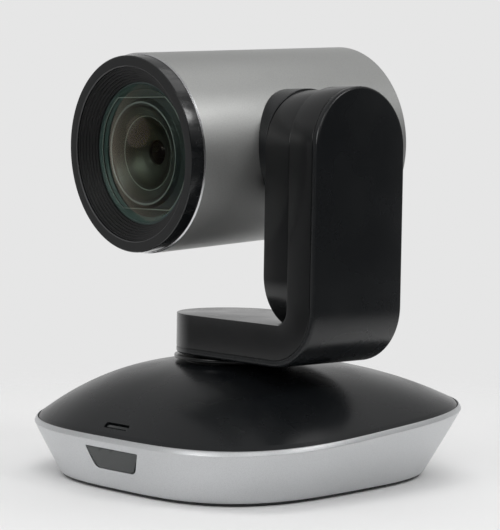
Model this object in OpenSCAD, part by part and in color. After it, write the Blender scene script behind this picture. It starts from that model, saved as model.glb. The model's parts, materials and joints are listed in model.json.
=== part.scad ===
// Motorised pan, tilt and zoom camera on a low squircle base.
// A yoke with one arm turns on the base, and a round camera head tilts on the arm.
// Origin: middle of the footprint, on the table. +Z up, the lens towards -Y, the arm on the +X side.

/* [Base] */
// Width across the lip
base_width = 131; // [109:1:160]
// Depth across the lip
base_depth = 130; // [108:1:160]
// Height of the lip at the middle of the sides
lip_height = 22.8; // [21:0.2:28]
// Rise of the lip for each millimetre towards the back
lip_slope = 0.063; // [0:0.003:0.075]
// Squareness of the lip: 2 is an ellipse
lip_squareness = 3.22; // [2.8:0.02:5]
// How far the skirt draws in at each side, from the lip to the foot
side_taper = 13.1; // [8:0.1:15]
// How far the skirt draws in at the front and back
end_taper = 6.6; // [4:0.1:9]
// Height of the cover's crown under the turntable
crown_height = 41; // [40:0.1:41.2]
// Wall of the skirt
skirt_wall = 2.2; // [1.6:0.1:2.6]
// Wall of the top cover
cover_wall = 2; // [1.4:0.1:2.4]

/* [Turntable] */
// How far the pan axis stands in front of the middle of the base
pan_offset = 7.5; // [0:0.5:10]
// Radius of the disc under the foot
disc_radius = 20.5; // [18:0.1:24]
// Radius of the hollow pan spindle
pan_spindle_r = 8; // [7:0.1:8.6]
// Teeth on the pan gear
pan_teeth = 60; // [52:4:64]

/* [Arm] */
// Half of the width of the arm and the foot
arm_half = 19.8; // [18.9:0.1:24]
// Height of the underside of the foot
foot_bottom = 42.74; // [42.5:0.02:43]
// Height of the top of the foot
foot_top = 56.5; // [55:0.1:68]
// Depth of the inner cover, which faces the head
pod_depth = 11.3; // [11:0.1:14]
// Thickness of the frame between the two covers
frame_depth = 10.8; // [10.8:0.1:14]
// Thickness of the outer cover
cover_skin = 2.08; // [1.6:0.04:3]
// Outer radius of the corner where the foot turns up into the arm
corner_radius = 19.6; // [14:0.2:22]
// Radius of the fillet between the foot and the arm
inner_fillet = 5; // [3:0.1:8]
// Wall of the frame and of the inner cover
arm_wall = 2; // [1.6:0.1:2.4]
// Teeth on the tilt gear
tilt_teeth = 40; // [36:4:40]

/* [Camera head] */
// Radius of the barrel
barrel_radius = 33; // [30:0.1:40]
// Wall of the barrel
barrel_wall = 1.8; // [1.2:0.1:2.4]
// From the tilt axis to the front of the lens ring
front_reach = 47; // [46.5:0.1:57]
// From the tilt axis to the back of the rear cover
back_reach = 50.5; // [42:0.1:61]
// How far the lens ring stands out of the barrel
ring_proud = 4.7; // [3:0.1:5.4]
// Width of the flat face of the lens ring
ring_face = 3.64; // [2.5:0.02:4.5]
// Radius of the front lens
lens_radius = 23; // [22.8:0.1:24.2]
// How far the front lens bulges
lens_bulge = 4.2; // [2:0.1:5]
// Radius of the boss on the tilt axis
hub_radius = 19.9; // [16:0.1:21]

/* [Lens drive] */
// Radius of the zoom lens
zoom_lens_r = 15.6; // [13:0.1:15.6]
// Radius of the focus lens
focus_lens_r = 11; // [9:0.1:12]
// Diameter of the guide rods
rod_d = 2; // [1.6:0.1:2.4]

/* [Sockets] */
// Half of the width of the recess for the sockets
port_half = 30; // [29:0.5:31]
// Diameter of the pairing button
button_d = 6; // [5:0.1:7]
// Diameter of the hole in the tripod insert, a tapping size for 1/4-20 UNC
tripod_hole_d = 5.1; // [5:0.05:5.3]

/* [Pose] */
// Pan of the head as stored, in degrees
rest_pan = -3.6; // [-10:0.1:10]
// Tilt of the head as stored, in degrees, nose down
rest_tilt = 3.9; // [-10:0.1:10]

/* [Hidden] */
$fn = 96;

eps = 0.01;
clear = 0.1;            // loose fit between two fixed pieces
run_clear = 0.06;       // radial clearance of a turning or sliding shaft
board_t = 1.6;

black = "#1b1d1f";
charcoal = "#2a2c2e";
silver = "#b7babb";
steel = "#9a9da0";
brass = "#b08d4a";
board_green = "#1f5a38";

// Base outlines
ring_steps = 72;
lip_a = base_width / 2;
lip_b = base_depth / 2;
foot_a = lip_a - side_taper;
foot_b = lip_b - end_taper;
foot_shift = -1.7;      // the foot of the skirt stands a little forward
skirt_bottom = 1;
skirt_bulge = 0.1;
lip_band = 1.7;         // height of the rounded band under the lip
seam_inset = 1.15;      // from the widest line of the lip to the edge of the cover
seam_gap = 0.15;
ledge_drop = 2.2;
cover_power = 2.75;     // profile of the cover, from its edge to its crown

// Bottom plate and what stands on it
plate_bottom = 0.4;
plate_top = 2.6;
screw_r = 1.25;
screw_head_r = 2.4;
screw_length = 7;
boss_r = 3.5;
boss_top = 12;
rib_t = 1.6;
foot_pad_r = 6;
foot_pad_t = 1.2;
head_depth = 1.2;       // recess for a screw head
tripod_boss_r = 9;
tripod_insert_r = 6;
tripod_depth = 8;
board_bottom = 4.1;
board_top = board_bottom + board_t;
board_front_y = 14;
board_half = port_half - 2;

// Socket recess
port_bottom = 4;
port_top = 18.4;
port_mid_z = (port_bottom + port_top) / 2;
port_wall = 1.2;
port_face_y = foot_b * pow(1 - pow(port_half / foot_a, lip_squareness), 1 / lip_squareness)
    + foot_shift - 1.7;
port_back_y = port_face_y - 2;
usb_x = -17;
usb_size = [12, 16, 11];
jack_x = 15;
jack_size = [9, 14, 11];
lock_x = 25;
button_len = 5;
button_proud = 1;
button_travel = 0.8;

// Window and receiver at the front
window_x = 1.2;
window_top = 14.7;
window_low = 7.8;
window_half_top = 12.6;
window_half_low = 8.6;
window_t = 1.4;
window_inset = 0.15;    // how far the window lies below the face of the skirt
slot_len = 11.4;
slot_w = 2.3;
slot_s = 0.945;         // place of the slot between the crown and the edge

// Pan drive, measured up from the table
pan_y = -pan_offset;
gear_module = 0.8;
pinion_teeth = 12;
pan_centres = gear_module * (pan_teeth + pinion_teeth) / 2;
disc_bottom = crown_height - 0.1;
disc_top = disc_bottom + 1.2;
neck_r = 16.5;
neck_bottom = disc_bottom - 4.9;
spindle_bottom = 11;
pan_hub_bottom = 13;
chassis_bottom = 20;
chassis_t = 2.4;
flange_bottom = 25;
flange_t = 0.9;
pan_gear_z = 26;
gear_t = 3.5;
bush_wall = 2;
hub_wall = 3;
leg_x = foot_a - 19.4;
leg_front_y = pan_y - 10;
leg_r = 4;
motor_r = 10;
motor_h = 10;
shaft_r = 1;
pilot_r = 3.2;
spindle_bore_r = 5;
boss_on_disc_r = 14;
turntable_bolt_r = 12.5;

// Arm and foot, measured from the pan axis
frame_bottom = foot_bottom + 2;
hub_out = 3;            // length of the tilt boss beyond the barrel
head_gap = 0.44;        // between the tilt boss and the arm
pod_x = barrel_radius + hub_out + head_gap;
frame_x = pod_x + pod_depth;
cover_x = frame_x + frame_depth;
arm_x = cover_x + cover_skin;
frame_corner = corner_radius - 2;
frame_floor = 2.4;
swing_gap = 0.35;
ring_front_r = barrel_radius - 0.92;
pivot_z = foot_top + sqrt(pow(front_reach, 2) + pow(ring_front_r, 2)) + swing_gap;
pod_low_z = foot_top + 16.2;

// Tilt drive
tilt_spindle_r = 7;
tilt_bore_r = 4.5;
tilt_bush_r = 9;
tilt_centres = gear_module * (tilt_teeth + pinion_teeth) / 2;
tilt_gear_x = frame_x + 4.3;
tilt_gear_t = 3;
tilt_motor_r = 9;
nut_t = 2.4;
nut_r = tilt_spindle_r + 4;

// Camera head, measured from the tilt axis: y runs back from the lens
front_y = -front_reach;
barrel_front_y = front_y + ring_proud;
back_y = back_reach;
barrel_back_y = back_y - 0.8;
barrel_bore = barrel_radius - barrel_wall;
spindle_inner_x = sqrt(pow(barrel_bore, 2) - pow(nut_r, 2)) - 0.05 - nut_t;
ring_bore = ring_front_r - ring_face;
ring_back_y = front_y + 8.8;
lens_edge_y = front_y + 5.6;
baffle_steps = 5;
housing_r = lens_radius + 1.5;
housing_bore = lens_radius - 0.5;
seat_y = lens_edge_y + 2.5;
mask_t = 0.8;
mask_y = seat_y + 0.3;
mask_half_z = 17.7;
housing_back_y = -6;
housing_wall_y = housing_back_y - 2;
rod_x = 19.6;
rod_r = rod_d / 2;
lug_r = 2.3;
zoom_y = front_y + 16;
zoom_len = 7;
zoom_screw_r = 1.25;
focus_y = housing_wall_y - 5;
focus_len = 3;
sensor_board_half = 17;
standoff_x = 14;
standoff_z = 10;
video_y = 14;
video_half = 20;
sink_half = 14;
sink_h = 11;
fin_count = 7;
fin_t = 1.4;

// ---------- Shapes used by several pieces ----------

// Runs a flat shape drawn in (y, z) along +X
module along_x(x, length) {
    translate([x, 0, 0]) rotate([90, 0, 90]) linear_extrude(length) children();
}

// Runs a flat shape drawn in (x, z) along Y, from the higher y towards -Y
module along_y(high_y, length) {
    translate([0, high_y, 0]) rotate([90, 0, 0]) linear_extrude(length) children();
}

// A round bar along X
module bar_x(r, x0, x1) {
    translate([x0, 0, 0]) rotate([0, 90, 0]) cylinder(r = r, h = x1 - x0);
}

// A round bar along Y
module bar_y(r, y0, y1) {
    translate([0, y0, 0]) rotate([-90, 0, 0]) cylinder(r = r, h = y1 - y0);
}

// A round body about the Y axis, from points [radius, y]
module turned_y(profile) {
    rotate([-90, 0, 0]) rotate_extrude() polygon(profile);
}

module rounded_rect(w, h, r) {
    square([w - 2 * r, h], center = true);
    square([w, h - 2 * r], center = true);
    for (x = [-1, 1], y = [-1, 1])
        translate([x * (w / 2 - r), y * (h / 2 - r)]) circle(r);
}

// A spur gear with straight-sided teeth, one tooth pointing along +x
function gear_outline(teeth) = let(
        pitch_r = gear_module * teeth / 2,
        tip_r = pitch_r + 0.85 * gear_module,
        root_r = pitch_r - 1.2 * gear_module,
        tip_half = 0.30 * gear_module,
        root_half = 0.98 * gear_module)
    [for (k = [0 : teeth - 1]) for (p = [[root_r, -root_half], [tip_r, -tip_half],
                                         [tip_r, tip_half], [root_r, root_half]])
        let(t = 360 * k / teeth) [p.x * cos(t) - p.y * sin(t), p.x * sin(t) + p.y * cos(t)]];

// ---------- Surfaces of the base ----------

function squircle(a, b, n, t) =
    let(r = pow(pow(abs(cos(t)) / a, n) + pow(abs(sin(t)) / b, n), -1 / n))
    [r * cos(t), r * sin(t)];
function ring_angle(i) = 360 * i / ring_steps;
function lip_z(y) = lip_height + lip_slope * y;
function mix(p, q, k) = p * (1 - k) + q * k;

// A ring of the skirt: k is 0 at its foot and 1 at the widest line of the lip
function skirt_ring(k, inset) = [for (i = [0 : ring_steps - 1]) let(
        t = ring_angle(i),
        low = squircle(foot_a - inset, foot_b - inset, lip_squareness, t) + [0, foot_shift],
        high = squircle(lip_a - inset, lip_b - inset, lip_squareness, t),
        p = mix(low, high, k + skirt_bulge * k * (1 - k)))
    [p.x, p.y, mix(skirt_bottom, lip_z(high.y) - lip_band, k)]];

// A ring that follows the lip, drawn in by inset and lowered by drop
function lip_ring(inset, drop) = [for (i = [0 : ring_steps - 1]) let(
        p = squircle(lip_a - inset, lip_b - inset, lip_squareness, ring_angle(i)))
    [p.x, p.y, lip_z(p.y) - drop]];

// A ring of the cover: s is 0 at the crown, on the pan axis, and 1 at the edge
function cover_ring(s, drop) = [for (i = [0 : ring_steps - 1]) let(
        n = 2 + (lip_squareness - 2) * pow(s, 1.12),
        edge_a = lip_a - seam_inset,
        edge_b = lip_b - seam_inset,
        p = squircle(edge_a * s, edge_b * s, n, ring_angle(i)),
        rim_z = lip_z(p.y / s),
        rise = 1 - pow(s, cover_power))
    [p.x, p.y + pan_y * (1 - s), mix(rim_z, crown_height, rise) - drop]];

function cover_point_y(s) = -(lip_b - seam_inset) * s + pan_y * (1 - s);
function cover_point_z(s) = mix(lip_z(-(lip_b - seam_inset)), crown_height, 1 - pow(s, cover_power));

// A closed band through rings that go up the outside and back down the inside
module ring_band(rings) {
    m = len(rings);
    n = ring_steps;
    polyhedron(points = [for (r = rings) each r],
        faces = [for (j = [0 : m - 1], i = [0 : n - 1]) let(
                a = j * n + i, b = ((j + 1) % m) * n + i,
                c = ((j + 1) % m) * n + (i + 1) % n, d = j * n + (i + 1) % n)
            each [[a, b, c], [a, c, d]]], convexity = 6);
}

// A solid through rings from bottom to top, closed by flat ends
module ring_stack(rings) {
    m = len(rings);
    n = ring_steps;
    polyhedron(points = [for (r = rings) each r],
        faces = concat([[for (i = [0 : n - 1]) i]],
            [[for (i = [n - 1 : -1 : 0]) (m - 1) * n + i]],
            [for (j = [0 : m - 2], i = [0 : n - 1]) let(
                a = j * n + i, b = a + n, c = (j + 1) * n + (i + 1) % n, d = j * n + (i + 1) % n)
            each [[a, b, c], [a, c, d]]]), convexity = 4);
}

// Everything inside the outer face of the skirt, drawn in by inset
module skirt_solid(inset) {
    ring_stack([for (k = [0 : 0.25 : 1]) skirt_ring(k, inset)]);
}

module window_shape(grow) {
    r = 2.2;
    translate([window_x, 0]) hull() {
        for (side = [-1, 1]) {
            translate([side * (window_half_top - 0.4), window_top - 0.4]) circle(0.4 + grow, $fn = 32);
            translate([side * (window_half_low - r + 0.9), window_low + r]) circle(r + grow, $fn = 32);
        }
    }
}

// A point inside the foot of the skirt: t is its direction, inset its distance from the outline
function inside_foot(t, inset) = let(
        p = squircle(foot_a, foot_b, lip_squareness, t),
        k = 1 - inset / norm(p))
    [p.x * k, p.y * k + foot_shift];

foot_pad_places = [for (t = [45 : 90 : 315]) inside_foot(t, skirt_wall + foot_pad_r + 1.5)];
skirt_screw_places = [for (t = [18, 162, 198, 342]) inside_foot(t, skirt_wall + screw_head_r + 0.3)];
leg_back_y = min(pan_y + pan_centres + 7,
    foot_pad_places[0].y - foot_pad_r - screw_head_r - 1);
leg_places = [for (x = [-leg_x, leg_x], y = [leg_front_y, leg_back_y]) [x, y]];
plate_screw_places = concat(skirt_screw_places, leg_places);

// ---------- Base ----------

module base_shell() color(silver) {
    difference() {
        ring_band(concat(
            [for (k = [0 : 0.2 : 1]) skirt_ring(k, 0)],
            [lip_ring(0.1, 0.9), lip_ring(0.38, 0.3), lip_ring(0.72, 0.02),
             lip_ring(seam_inset - seam_gap, 0.12), lip_ring(seam_inset - seam_gap, ledge_drop),
             lip_ring(seam_inset + 2.4, ledge_drop)],
            [for (k = [0.84 : -0.28 : 0]) skirt_ring(k, skirt_wall)]));
        along_y(lip_b + 5, 2 * skirt_wall + 20)
            translate([-port_half - clear, port_bottom - clear])
                square([2 * (port_half + clear), port_top - port_bottom + 2 * clear]);
        along_y(-lip_b / 2, lip_b) window_shape(clear);
    }
    for (p = skirt_screw_places) translate(p) translate([0, 0, plate_top]) difference() {
        cylinder(r = boss_r, h = boss_top - plate_top);
        translate([0, 0, -eps]) cylinder(r = screw_r + 0.02, h = boss_top - plate_top - 1.5);
    }
    intersection() {
        for (p = skirt_screw_places) translate([p.x, p.y, plate_top]) rotate(atan2(p.y - foot_shift, p.x))
            translate([boss_r - 1, -rib_t / 2, 0]) cube([side_taper, rib_t, boss_top - plate_top - 3]);
        skirt_solid(skirt_wall / 2);
    }
}

slot_slope = atan2(
    cover_point_z(slot_s - 0.01) - cover_point_z(slot_s + 0.01),
    cover_point_y(slot_s - 0.01) - cover_point_y(slot_s + 0.01));

module at_slot() {
    translate([0, cover_point_y(slot_s), cover_point_z(slot_s)]) rotate([slot_slope, 0, 0]) children();
}

module base_cover() color(black) {
    outer_s = [1, 0.985, 0.955, 0.91, 0.85, 0.77, 0.68, 0.58, 0.47, 0.36, 0.22];
    inner_s = [0.22, 0.36, 0.47, 0.58, 0.68, 0.77, 0.85, 0.91];
    difference() {
        ring_band(concat([lip_ring(seam_inset, ledge_drop), lip_ring(seam_inset, 0.1)],
            [for (s = outer_s) if (s < 1) cover_ring(s, 0)],
            [for (s = inner_s) cover_ring(s, cover_wall)],
            [lip_ring(seam_inset + cover_wall, ledge_drop)]));
        translate([0, pan_y, 0]) cylinder(r = neck_r + 0.6, h = crown_height + 5);
        at_slot() translate([0, 0, -3]) linear_extrude(6) rounded_rect(slot_len, slot_w, 0.6);
    }
}

module plate_outline(inset) {
    polygon([for (i = [0 : ring_steps - 1])
        squircle(foot_a - inset, foot_b - inset, lip_squareness, ring_angle(i)) + [0, foot_shift]]);
}

module bottom_plate() color(black) difference() {
    union() {
        translate([0, 0, plate_bottom]) linear_extrude(skirt_bottom - plate_bottom) plate_outline(0.5);
        translate([0, 0, skirt_bottom - eps]) linear_extrude(plate_top - skirt_bottom + eps)
            plate_outline(skirt_wall + 0.2);
        translate([0, 0, plate_bottom]) cylinder(r = tripod_boss_r, h = tripod_depth + 1.2);
        for (x = [-board_half + 3, board_half - 3], y = [board_front_y + 3, port_back_y - 4])
            translate([x, y, plate_top - eps]) cylinder(r = 2, h = board_bottom - plate_top + eps);
    }
    for (p = plate_screw_places) translate(p) {
        translate([0, 0, plate_bottom - eps]) cylinder(r = screw_head_r + clear, h = head_depth + eps);
        cylinder(r = screw_r + clear, h = plate_top + 1);
    }
    for (p = foot_pad_places) translate(p) cylinder(r = foot_pad_r + clear, h = foot_pad_t);
    translate([0, 0, plate_bottom - eps]) cylinder(r = tripod_insert_r, h = tripod_depth + 3);
}

module rubber_feet() color("#101112")
    for (p = foot_pad_places) translate(p) cylinder(r = foot_pad_r, h = foot_pad_t);

module tripod_insert() color(brass) difference() {
    translate([0, 0, plate_bottom + 0.2]) cylinder(r = tripod_insert_r, h = tripod_depth + 1);
    translate([0, 0, plate_bottom]) cylinder(d = tripod_hole_d, h = tripod_depth + 0.2);
}

module base_screws() color(steel)
    for (p = plate_screw_places) translate(p) translate([0, 0, plate_bottom + clear]) {
        cylinder(r = screw_head_r, h = head_depth - clear);
        cylinder(r = screw_r, h = head_depth - clear + screw_length);
    }

module port_panel() color(charcoal) intersection() {
    difference() {
        translate([-port_half, port_back_y, port_bottom])
            cube([2 * port_half, 40, port_top - port_bottom]);
        translate([-port_half + port_wall, port_face_y, port_bottom + port_wall])
            cube([2 * (port_half - port_wall), 60, port_top - port_bottom - 2 * port_wall]);
        translate([usb_x - usb_size.x / 2 - clear, port_back_y - 1, port_mid_z - usb_size.z / 2 - clear])
            cube([usb_size.x + 2 * clear, 5, usb_size.z + 2 * clear]);
        translate([jack_x - jack_size.x / 2 - clear, port_back_y - 1, port_mid_z - jack_size.z / 2 - clear])
            cube([jack_size.x + 2 * clear, 5, jack_size.z + 2 * clear]);
        translate([0, port_back_y - 1, port_mid_z]) rotate([-90, 0, 0])
            cylinder(d = button_d + 0.6, h = 5);
        translate([lock_x, port_back_y + 5, port_mid_z]) rotate([90, 0, 0])
            linear_extrude(10) rounded_rect(3.6, 7.6, 0.8);
    }
    skirt_solid(0.05);
}

module usb_port() color(steel) {
    front_y = port_face_y + 0.5;
    translate([usb_x, front_y, port_mid_z]) difference() {
        translate([-usb_size.x / 2, -usb_size.y, -usb_size.z / 2]) cube(usb_size);
        translate([-4.3, -9, -3.95]) cube([8.6, 10, 7.9]);
    }
    translate([usb_x - 2.8, front_y - 9.5, port_mid_z - 1.6]) cube([5.6, 8.5, 3.2]);
}

module power_jack() color(black) {
    front_y = port_face_y + 0.5;
    translate([jack_x, front_y, port_mid_z]) {
        difference() {
            translate([-jack_size.x / 2, -jack_size.y, -jack_size.z / 2]) cube(jack_size);
            bar_y(2.8, -9, 1);
        }
        bar_y(1, -10, -1);
    }
}

module lock_plate() color(steel) translate([lock_x, port_back_y, port_mid_z]) rotate([90, 0, 0])
    linear_extrude(1.5) difference() {
        square([6.4, 11], center = true);
        rounded_rect(3, 7, 0.6);
    }

module pairing_button() color(charcoal) translate([0, 0, port_mid_z]) {
    bar_y(button_d / 2, port_face_y + button_proud - button_len, port_face_y + button_proud);
    bar_y(button_d / 2 + 0.9, port_back_y - 1.3, port_back_y - 0.3);
}

module button_switch() color(black) {
    back = port_face_y + button_proud - button_len - button_travel - 0.3;
    translate([-3.5, back - 4, board_top]) cube([7, 4, port_mid_z + 2.5 - board_top]);
}

module main_board() color(board_green)
    translate([-board_half, board_front_y, board_bottom])
        cube([2 * board_half, port_back_y - 2 - board_front_y, board_t]);

module ir_window() color("#33393b") intersection() {
    ring_band(concat([for (k = [0 : 0.25 : 1]) skirt_ring(k, window_inset)],
        [for (k = [1 : -0.25 : 0]) skirt_ring(k, window_inset + window_t)]));
    along_y(-lip_b / 2, lip_b) window_shape(0);
}

module ir_receiver() color(black) {
    board_y = -foot_b + 6;
    translate([window_x - 10, board_y, plate_top]) cube([20, board_t, 12]);
    translate([window_x - 3.5, board_y - 3.4, port_mid_z - 3.5]) cube([7, 3.4 + eps, 7]);
    translate([window_x, board_y - 3.4, port_mid_z]) sphere(1.6);
}

module status_light() color("#4c5356") at_slot() translate([0, 0, -4])
    linear_extrude(3.6) rounded_rect(slot_len - 2 * clear, slot_w - 2 * clear, 0.5);

module pan_chassis() color(steel) difference() {
    union() {
        translate([-leg_x - leg_r, leg_front_y - leg_r, chassis_bottom])
            cube([2 * (leg_x + leg_r), leg_back_y - leg_front_y + 2 * leg_r, chassis_t]);
        for (p = leg_places) translate(p) translate([0, 0, plate_top])
            cylinder(r = leg_r, h = chassis_bottom - plate_top + eps);
        translate([0, pan_y, pan_hub_bottom])
            cylinder(r = pan_spindle_r + run_clear + bush_wall + hub_wall,
                h = flange_bottom - pan_hub_bottom);
    }
    translate([0, pan_y, 0]) cylinder(r = pan_spindle_r + run_clear + bush_wall, h = 60);
    translate([0, pan_y + pan_centres, 0]) cylinder(r = pilot_r + clear, h = 60);
    for (p = leg_places) translate(p) cylinder(r = screw_r + 0.02, h = plate_top + 9);
}

module pan_bush() color(brass) translate([0, pan_y, 0]) difference() {
    union() {
        translate([0, 0, pan_hub_bottom])
            cylinder(r = pan_spindle_r + run_clear + bush_wall, h = flange_bottom - pan_hub_bottom);
        translate([0, 0, flange_bottom]) cylinder(r = pan_spindle_r + 4, h = flange_t);
    }
    cylinder(r = pan_spindle_r + run_clear, h = 60);
}

module pan_motor() color(steel) translate([0, pan_y + pan_centres, 0]) difference() {
    union() {
        translate([0, 0, chassis_bottom - motor_h]) cylinder(r = motor_r, h = motor_h);
        translate([0, 0, chassis_bottom]) cylinder(r = pilot_r, h = chassis_t);
    }
    translate([0, 0, chassis_bottom - 5]) cylinder(r = shaft_r + run_clear, h = 20);
}

module pan_pinion() color(brass) translate([0, pan_y + pan_centres, 0]) {
    translate([0, 0, pan_gear_z]) rotate(180 / pinion_teeth)
        linear_extrude(gear_t) polygon(gear_outline(pinion_teeth));
    translate([0, 0, chassis_bottom - 4.8])
        cylinder(r = shaft_r, h = pan_gear_z + gear_t + 1 - chassis_bottom + 4.8);
}

// ---------- Yoke: turns on the pan axis ----------

module at_pan() {
    translate([0, pan_y, 0]) rotate([0, 0, rest_pan]) children();
}

module turntable_bolts(r, z0, z1) {
    for (t = [45 : 90 : 315]) rotate([0, 0, t]) translate([turntable_bolt_r, 0, z0])
        cylinder(r = r, h = z1 - z0);
}

module pan_turntable() color(charcoal) at_pan() difference() {
    rotate_extrude() polygon([[spindle_bore_r, spindle_bottom], [pan_spindle_r, spindle_bottom],
        [pan_spindle_r, neck_bottom], [neck_r, neck_bottom], [neck_r, disc_bottom],
        [disc_radius, disc_bottom], [disc_radius, disc_top], [boss_on_disc_r, disc_top],
        [boss_on_disc_r, frame_bottom], [spindle_bore_r, frame_bottom]]);
    turntable_bolts(1.1, neck_bottom - 1, frame_bottom + 1);
    turntable_bolts(2.1, neck_bottom - 1, neck_bottom + 2);
}

module turntable_screws() color(steel) at_pan() {
    turntable_bolts(1.9, neck_bottom + 0.5, neck_bottom + 2);
    turntable_bolts(1, neck_bottom + 1, frame_bottom + frame_floor);
}

module pan_gear() color("#d8d4c8") translate([0, pan_y, 0]) difference() {
    union() {
        translate([0, 0, pan_gear_z]) rotate(90) linear_extrude(gear_t) polygon(gear_outline(pan_teeth));
        translate([0, 0, pan_gear_z]) cylinder(r = pan_spindle_r + 2, h = neck_bottom - pan_gear_z);
    }
    cylinder(r = pan_spindle_r, h = 60);
}

module pan_retainer() color(steel) translate([0, pan_y, pan_hub_bottom - 1.6]) difference() {
    cylinder(r = pan_spindle_r + 3, h = 1.5);
    translate([0, 0, -1]) cylinder(r = pan_spindle_r, h = 4);
}

// Plan of the foot, open towards the arm
module foot_plan(half, end_x) {
    circle(half);
    translate([0, -half]) square([end_x, 2 * half]);
}

// The arm seen along X: round at the top, and at the bottom too when low_z is given
module arm_face(half, low_z = undef) {
    translate([0, pivot_z]) circle(half);
    low = is_undef(low_z) ? 0 : low_z;
    translate([-half, low]) square([2 * half, pivot_z - low]);
    if (!is_undef(low_z)) translate([0, low_z]) circle(half);
}

// Everything left of x and above z, with a round corner: foot and arm seen along Y
module corner_block(x, z, r) {
    difference() {
        translate([-arm_half - 1, z]) square([x + arm_half + 1, pivot_z + arm_half + 1 - z]);
        difference() {
            translate([x - r, z - 1]) square([r + 1, r + 1]);
            translate([x - r, z + r]) circle(r);
        }
    }
}

// Trims a piece to the plan of the foot and the face of the arm
module yoke_trim(half) {
    intersection() {
        children();
        linear_extrude(pivot_z + arm_half + 5) foot_plan(half, arm_x + 5);
        along_x(-arm_half - 5, arm_x + arm_half + 10) arm_face(half);
    }
}

// The frame before it is hollowed
module yoke_block() {
    yoke_trim(arm_half) along_y(arm_half + 1, 2 * arm_half + 2) difference() {
        corner_block(cover_x, frame_bottom, frame_corner);
        difference() {
            translate([-arm_half - 5, foot_top]) square([frame_x + arm_half + 5, pivot_z]);
            difference() {
                translate([frame_x - inner_fillet, foot_top - 1])
                    square([inner_fillet + 1, inner_fillet + 1]);
                translate([frame_x - inner_fillet, foot_top + inner_fillet]) circle(inner_fillet);
            }
        }
    }
}

module yoke_hollow() {
    wall_x = frame_x + arm_wall + 0.4;
    yoke_trim(arm_half - arm_wall) along_y(arm_half + 1, 2 * arm_half + 2) difference() {
        union() {
            corner_block(cover_x - arm_wall, frame_bottom + frame_floor, frame_corner - arm_wall);
            translate([wall_x, frame_bottom + frame_corner]) square([frame_depth, pivot_z]);
        }
        translate([-arm_half - 5, foot_top - arm_wall]) square([wall_x + arm_half + 5, pivot_z]);
    }
}

module yoke_frame() color(charcoal) at_pan() difference() {
    yoke_block();
    yoke_hollow();
    translate([0, 0, frame_bottom - 1]) cylinder(r = spindle_bore_r, h = frame_floor + 2);
    turntable_bolts(1.02, frame_bottom - 1, frame_bottom + frame_floor + 1);
    translate([0, 0, pivot_z]) bar_x(tilt_bush_r, frame_x - 1, frame_x + 5);
    translate([0, 0, pivot_z - tilt_centres]) bar_x(pilot_r + clear, frame_x - 1, frame_x + 5);
}

module arm_inner_cover() color(charcoal) at_pan() difference() {
    along_x(pod_x, pod_depth) arm_face(arm_half, pod_low_z);
    intersection() {
        along_x(pod_x + arm_wall, pod_depth) arm_face(arm_half - arm_wall, pod_low_z);
        translate([0, -50, foot_top + arm_wall]) cube([200, 100, 200]);
    }
    yoke_block();
    translate([0, -50, 0]) cube([frame_x, 100, foot_top]);
    translate([0, 0, pivot_z]) bar_x(tilt_spindle_r + 1, pod_x - 1, pod_x + arm_wall + 1);
}

module arm_outer_cover() color(black) at_pan() difference() {
    yoke_trim(arm_half) along_y(arm_half + 1, 2 * arm_half + 2) difference() {
        corner_block(arm_x, foot_bottom, corner_radius);
        corner_block(cover_x, frame_bottom, frame_corner);
        translate([-arm_half - 5, pivot_z]) square([cover_x + arm_half + 5, arm_half + 5]);
    }
    translate([0, 0, foot_bottom - 1]) cylinder(r = boss_on_disc_r + clear, h = 4);
}

module at_tilt_drive() {
    at_pan() translate([0, 0, pivot_z]) children();
}

module tilt_bush() color(brass) at_tilt_drive() difference() {
    union() {
        bar_x(tilt_bush_r, frame_x - 1.1, frame_x + arm_wall + 0.4);
        bar_x(tilt_bush_r + 2, frame_x + arm_wall + 0.4, frame_x + arm_wall + 1.2);
    }
    bar_x(tilt_spindle_r + run_clear, frame_x - 3, frame_x + 9);
}

module tilt_motor() color(steel) at_tilt_drive() translate([0, 0, -tilt_centres]) difference() {
    union() {
        bar_x(tilt_motor_r, pod_x + arm_wall + 0.2, frame_x);
        bar_x(pilot_r, frame_x, frame_x + arm_wall + 0.4);
    }
    bar_x(shaft_r + run_clear, frame_x - 5, frame_x + 9);
}

module tilt_pinion() color(brass) at_tilt_drive() translate([0, 0, -tilt_centres]) {
    along_x(tilt_gear_x, tilt_gear_t) rotate(180 / pinion_teeth) polygon(gear_outline(pinion_teeth));
    bar_x(shaft_r, frame_x - 4.8, tilt_gear_x + tilt_gear_t + 0.5);
}

// A flat cable from the turntable, along the foot and up the arm beside the tilt spindle
module flex_cable() color("#b9b4a2") at_pan() {
    strip_half = 5;
    strip_t = 0.4;
    low = frame_bottom + frame_floor + 1;
    bend_r = frame_corner - arm_wall - 1;
    bend_x = cover_x - frame_corner;
    bend_z = low + bend_r;
    side_x = bend_x + bend_r;
    high_x = cover_x - 0.9;
    jog_z = bend_z + 6;
    along_y(strip_half, 2 * strip_half) {
        translate([0, low]) square([bend_x, strip_t]);
        intersection() {
            translate([bend_x, low]) square(bend_r);
            translate([bend_x, bend_z]) difference() {
                circle(bend_r);
                circle(bend_r - strip_t);
            }
        }
        polygon([[side_x - strip_t, bend_z], [side_x, bend_z], [side_x, jog_z], [high_x, jog_z + 6],
            [high_x, pivot_z], [high_x - strip_t, pivot_z], [high_x - strip_t, jog_z + 6],
            [side_x - strip_t, jog_z]]);
    }
}

// ---------- Camera head: tilts on the arm ----------

module at_tilt() {
    at_tilt_drive() rotate([rest_tilt, 0, 0]) children();
}

module tilt_hub() color(black) at_tilt() difference() {
    union() {
        difference() {
            bar_x(hub_radius, barrel_radius / 2, barrel_radius + hub_out);
            bar_y(barrel_radius, -barrel_radius, barrel_radius);
        }
        bar_x(tilt_spindle_r, spindle_inner_x, cover_x - 1.5);
    }
    bar_x(tilt_bore_r, 0, arm_x + 1);
}

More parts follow.
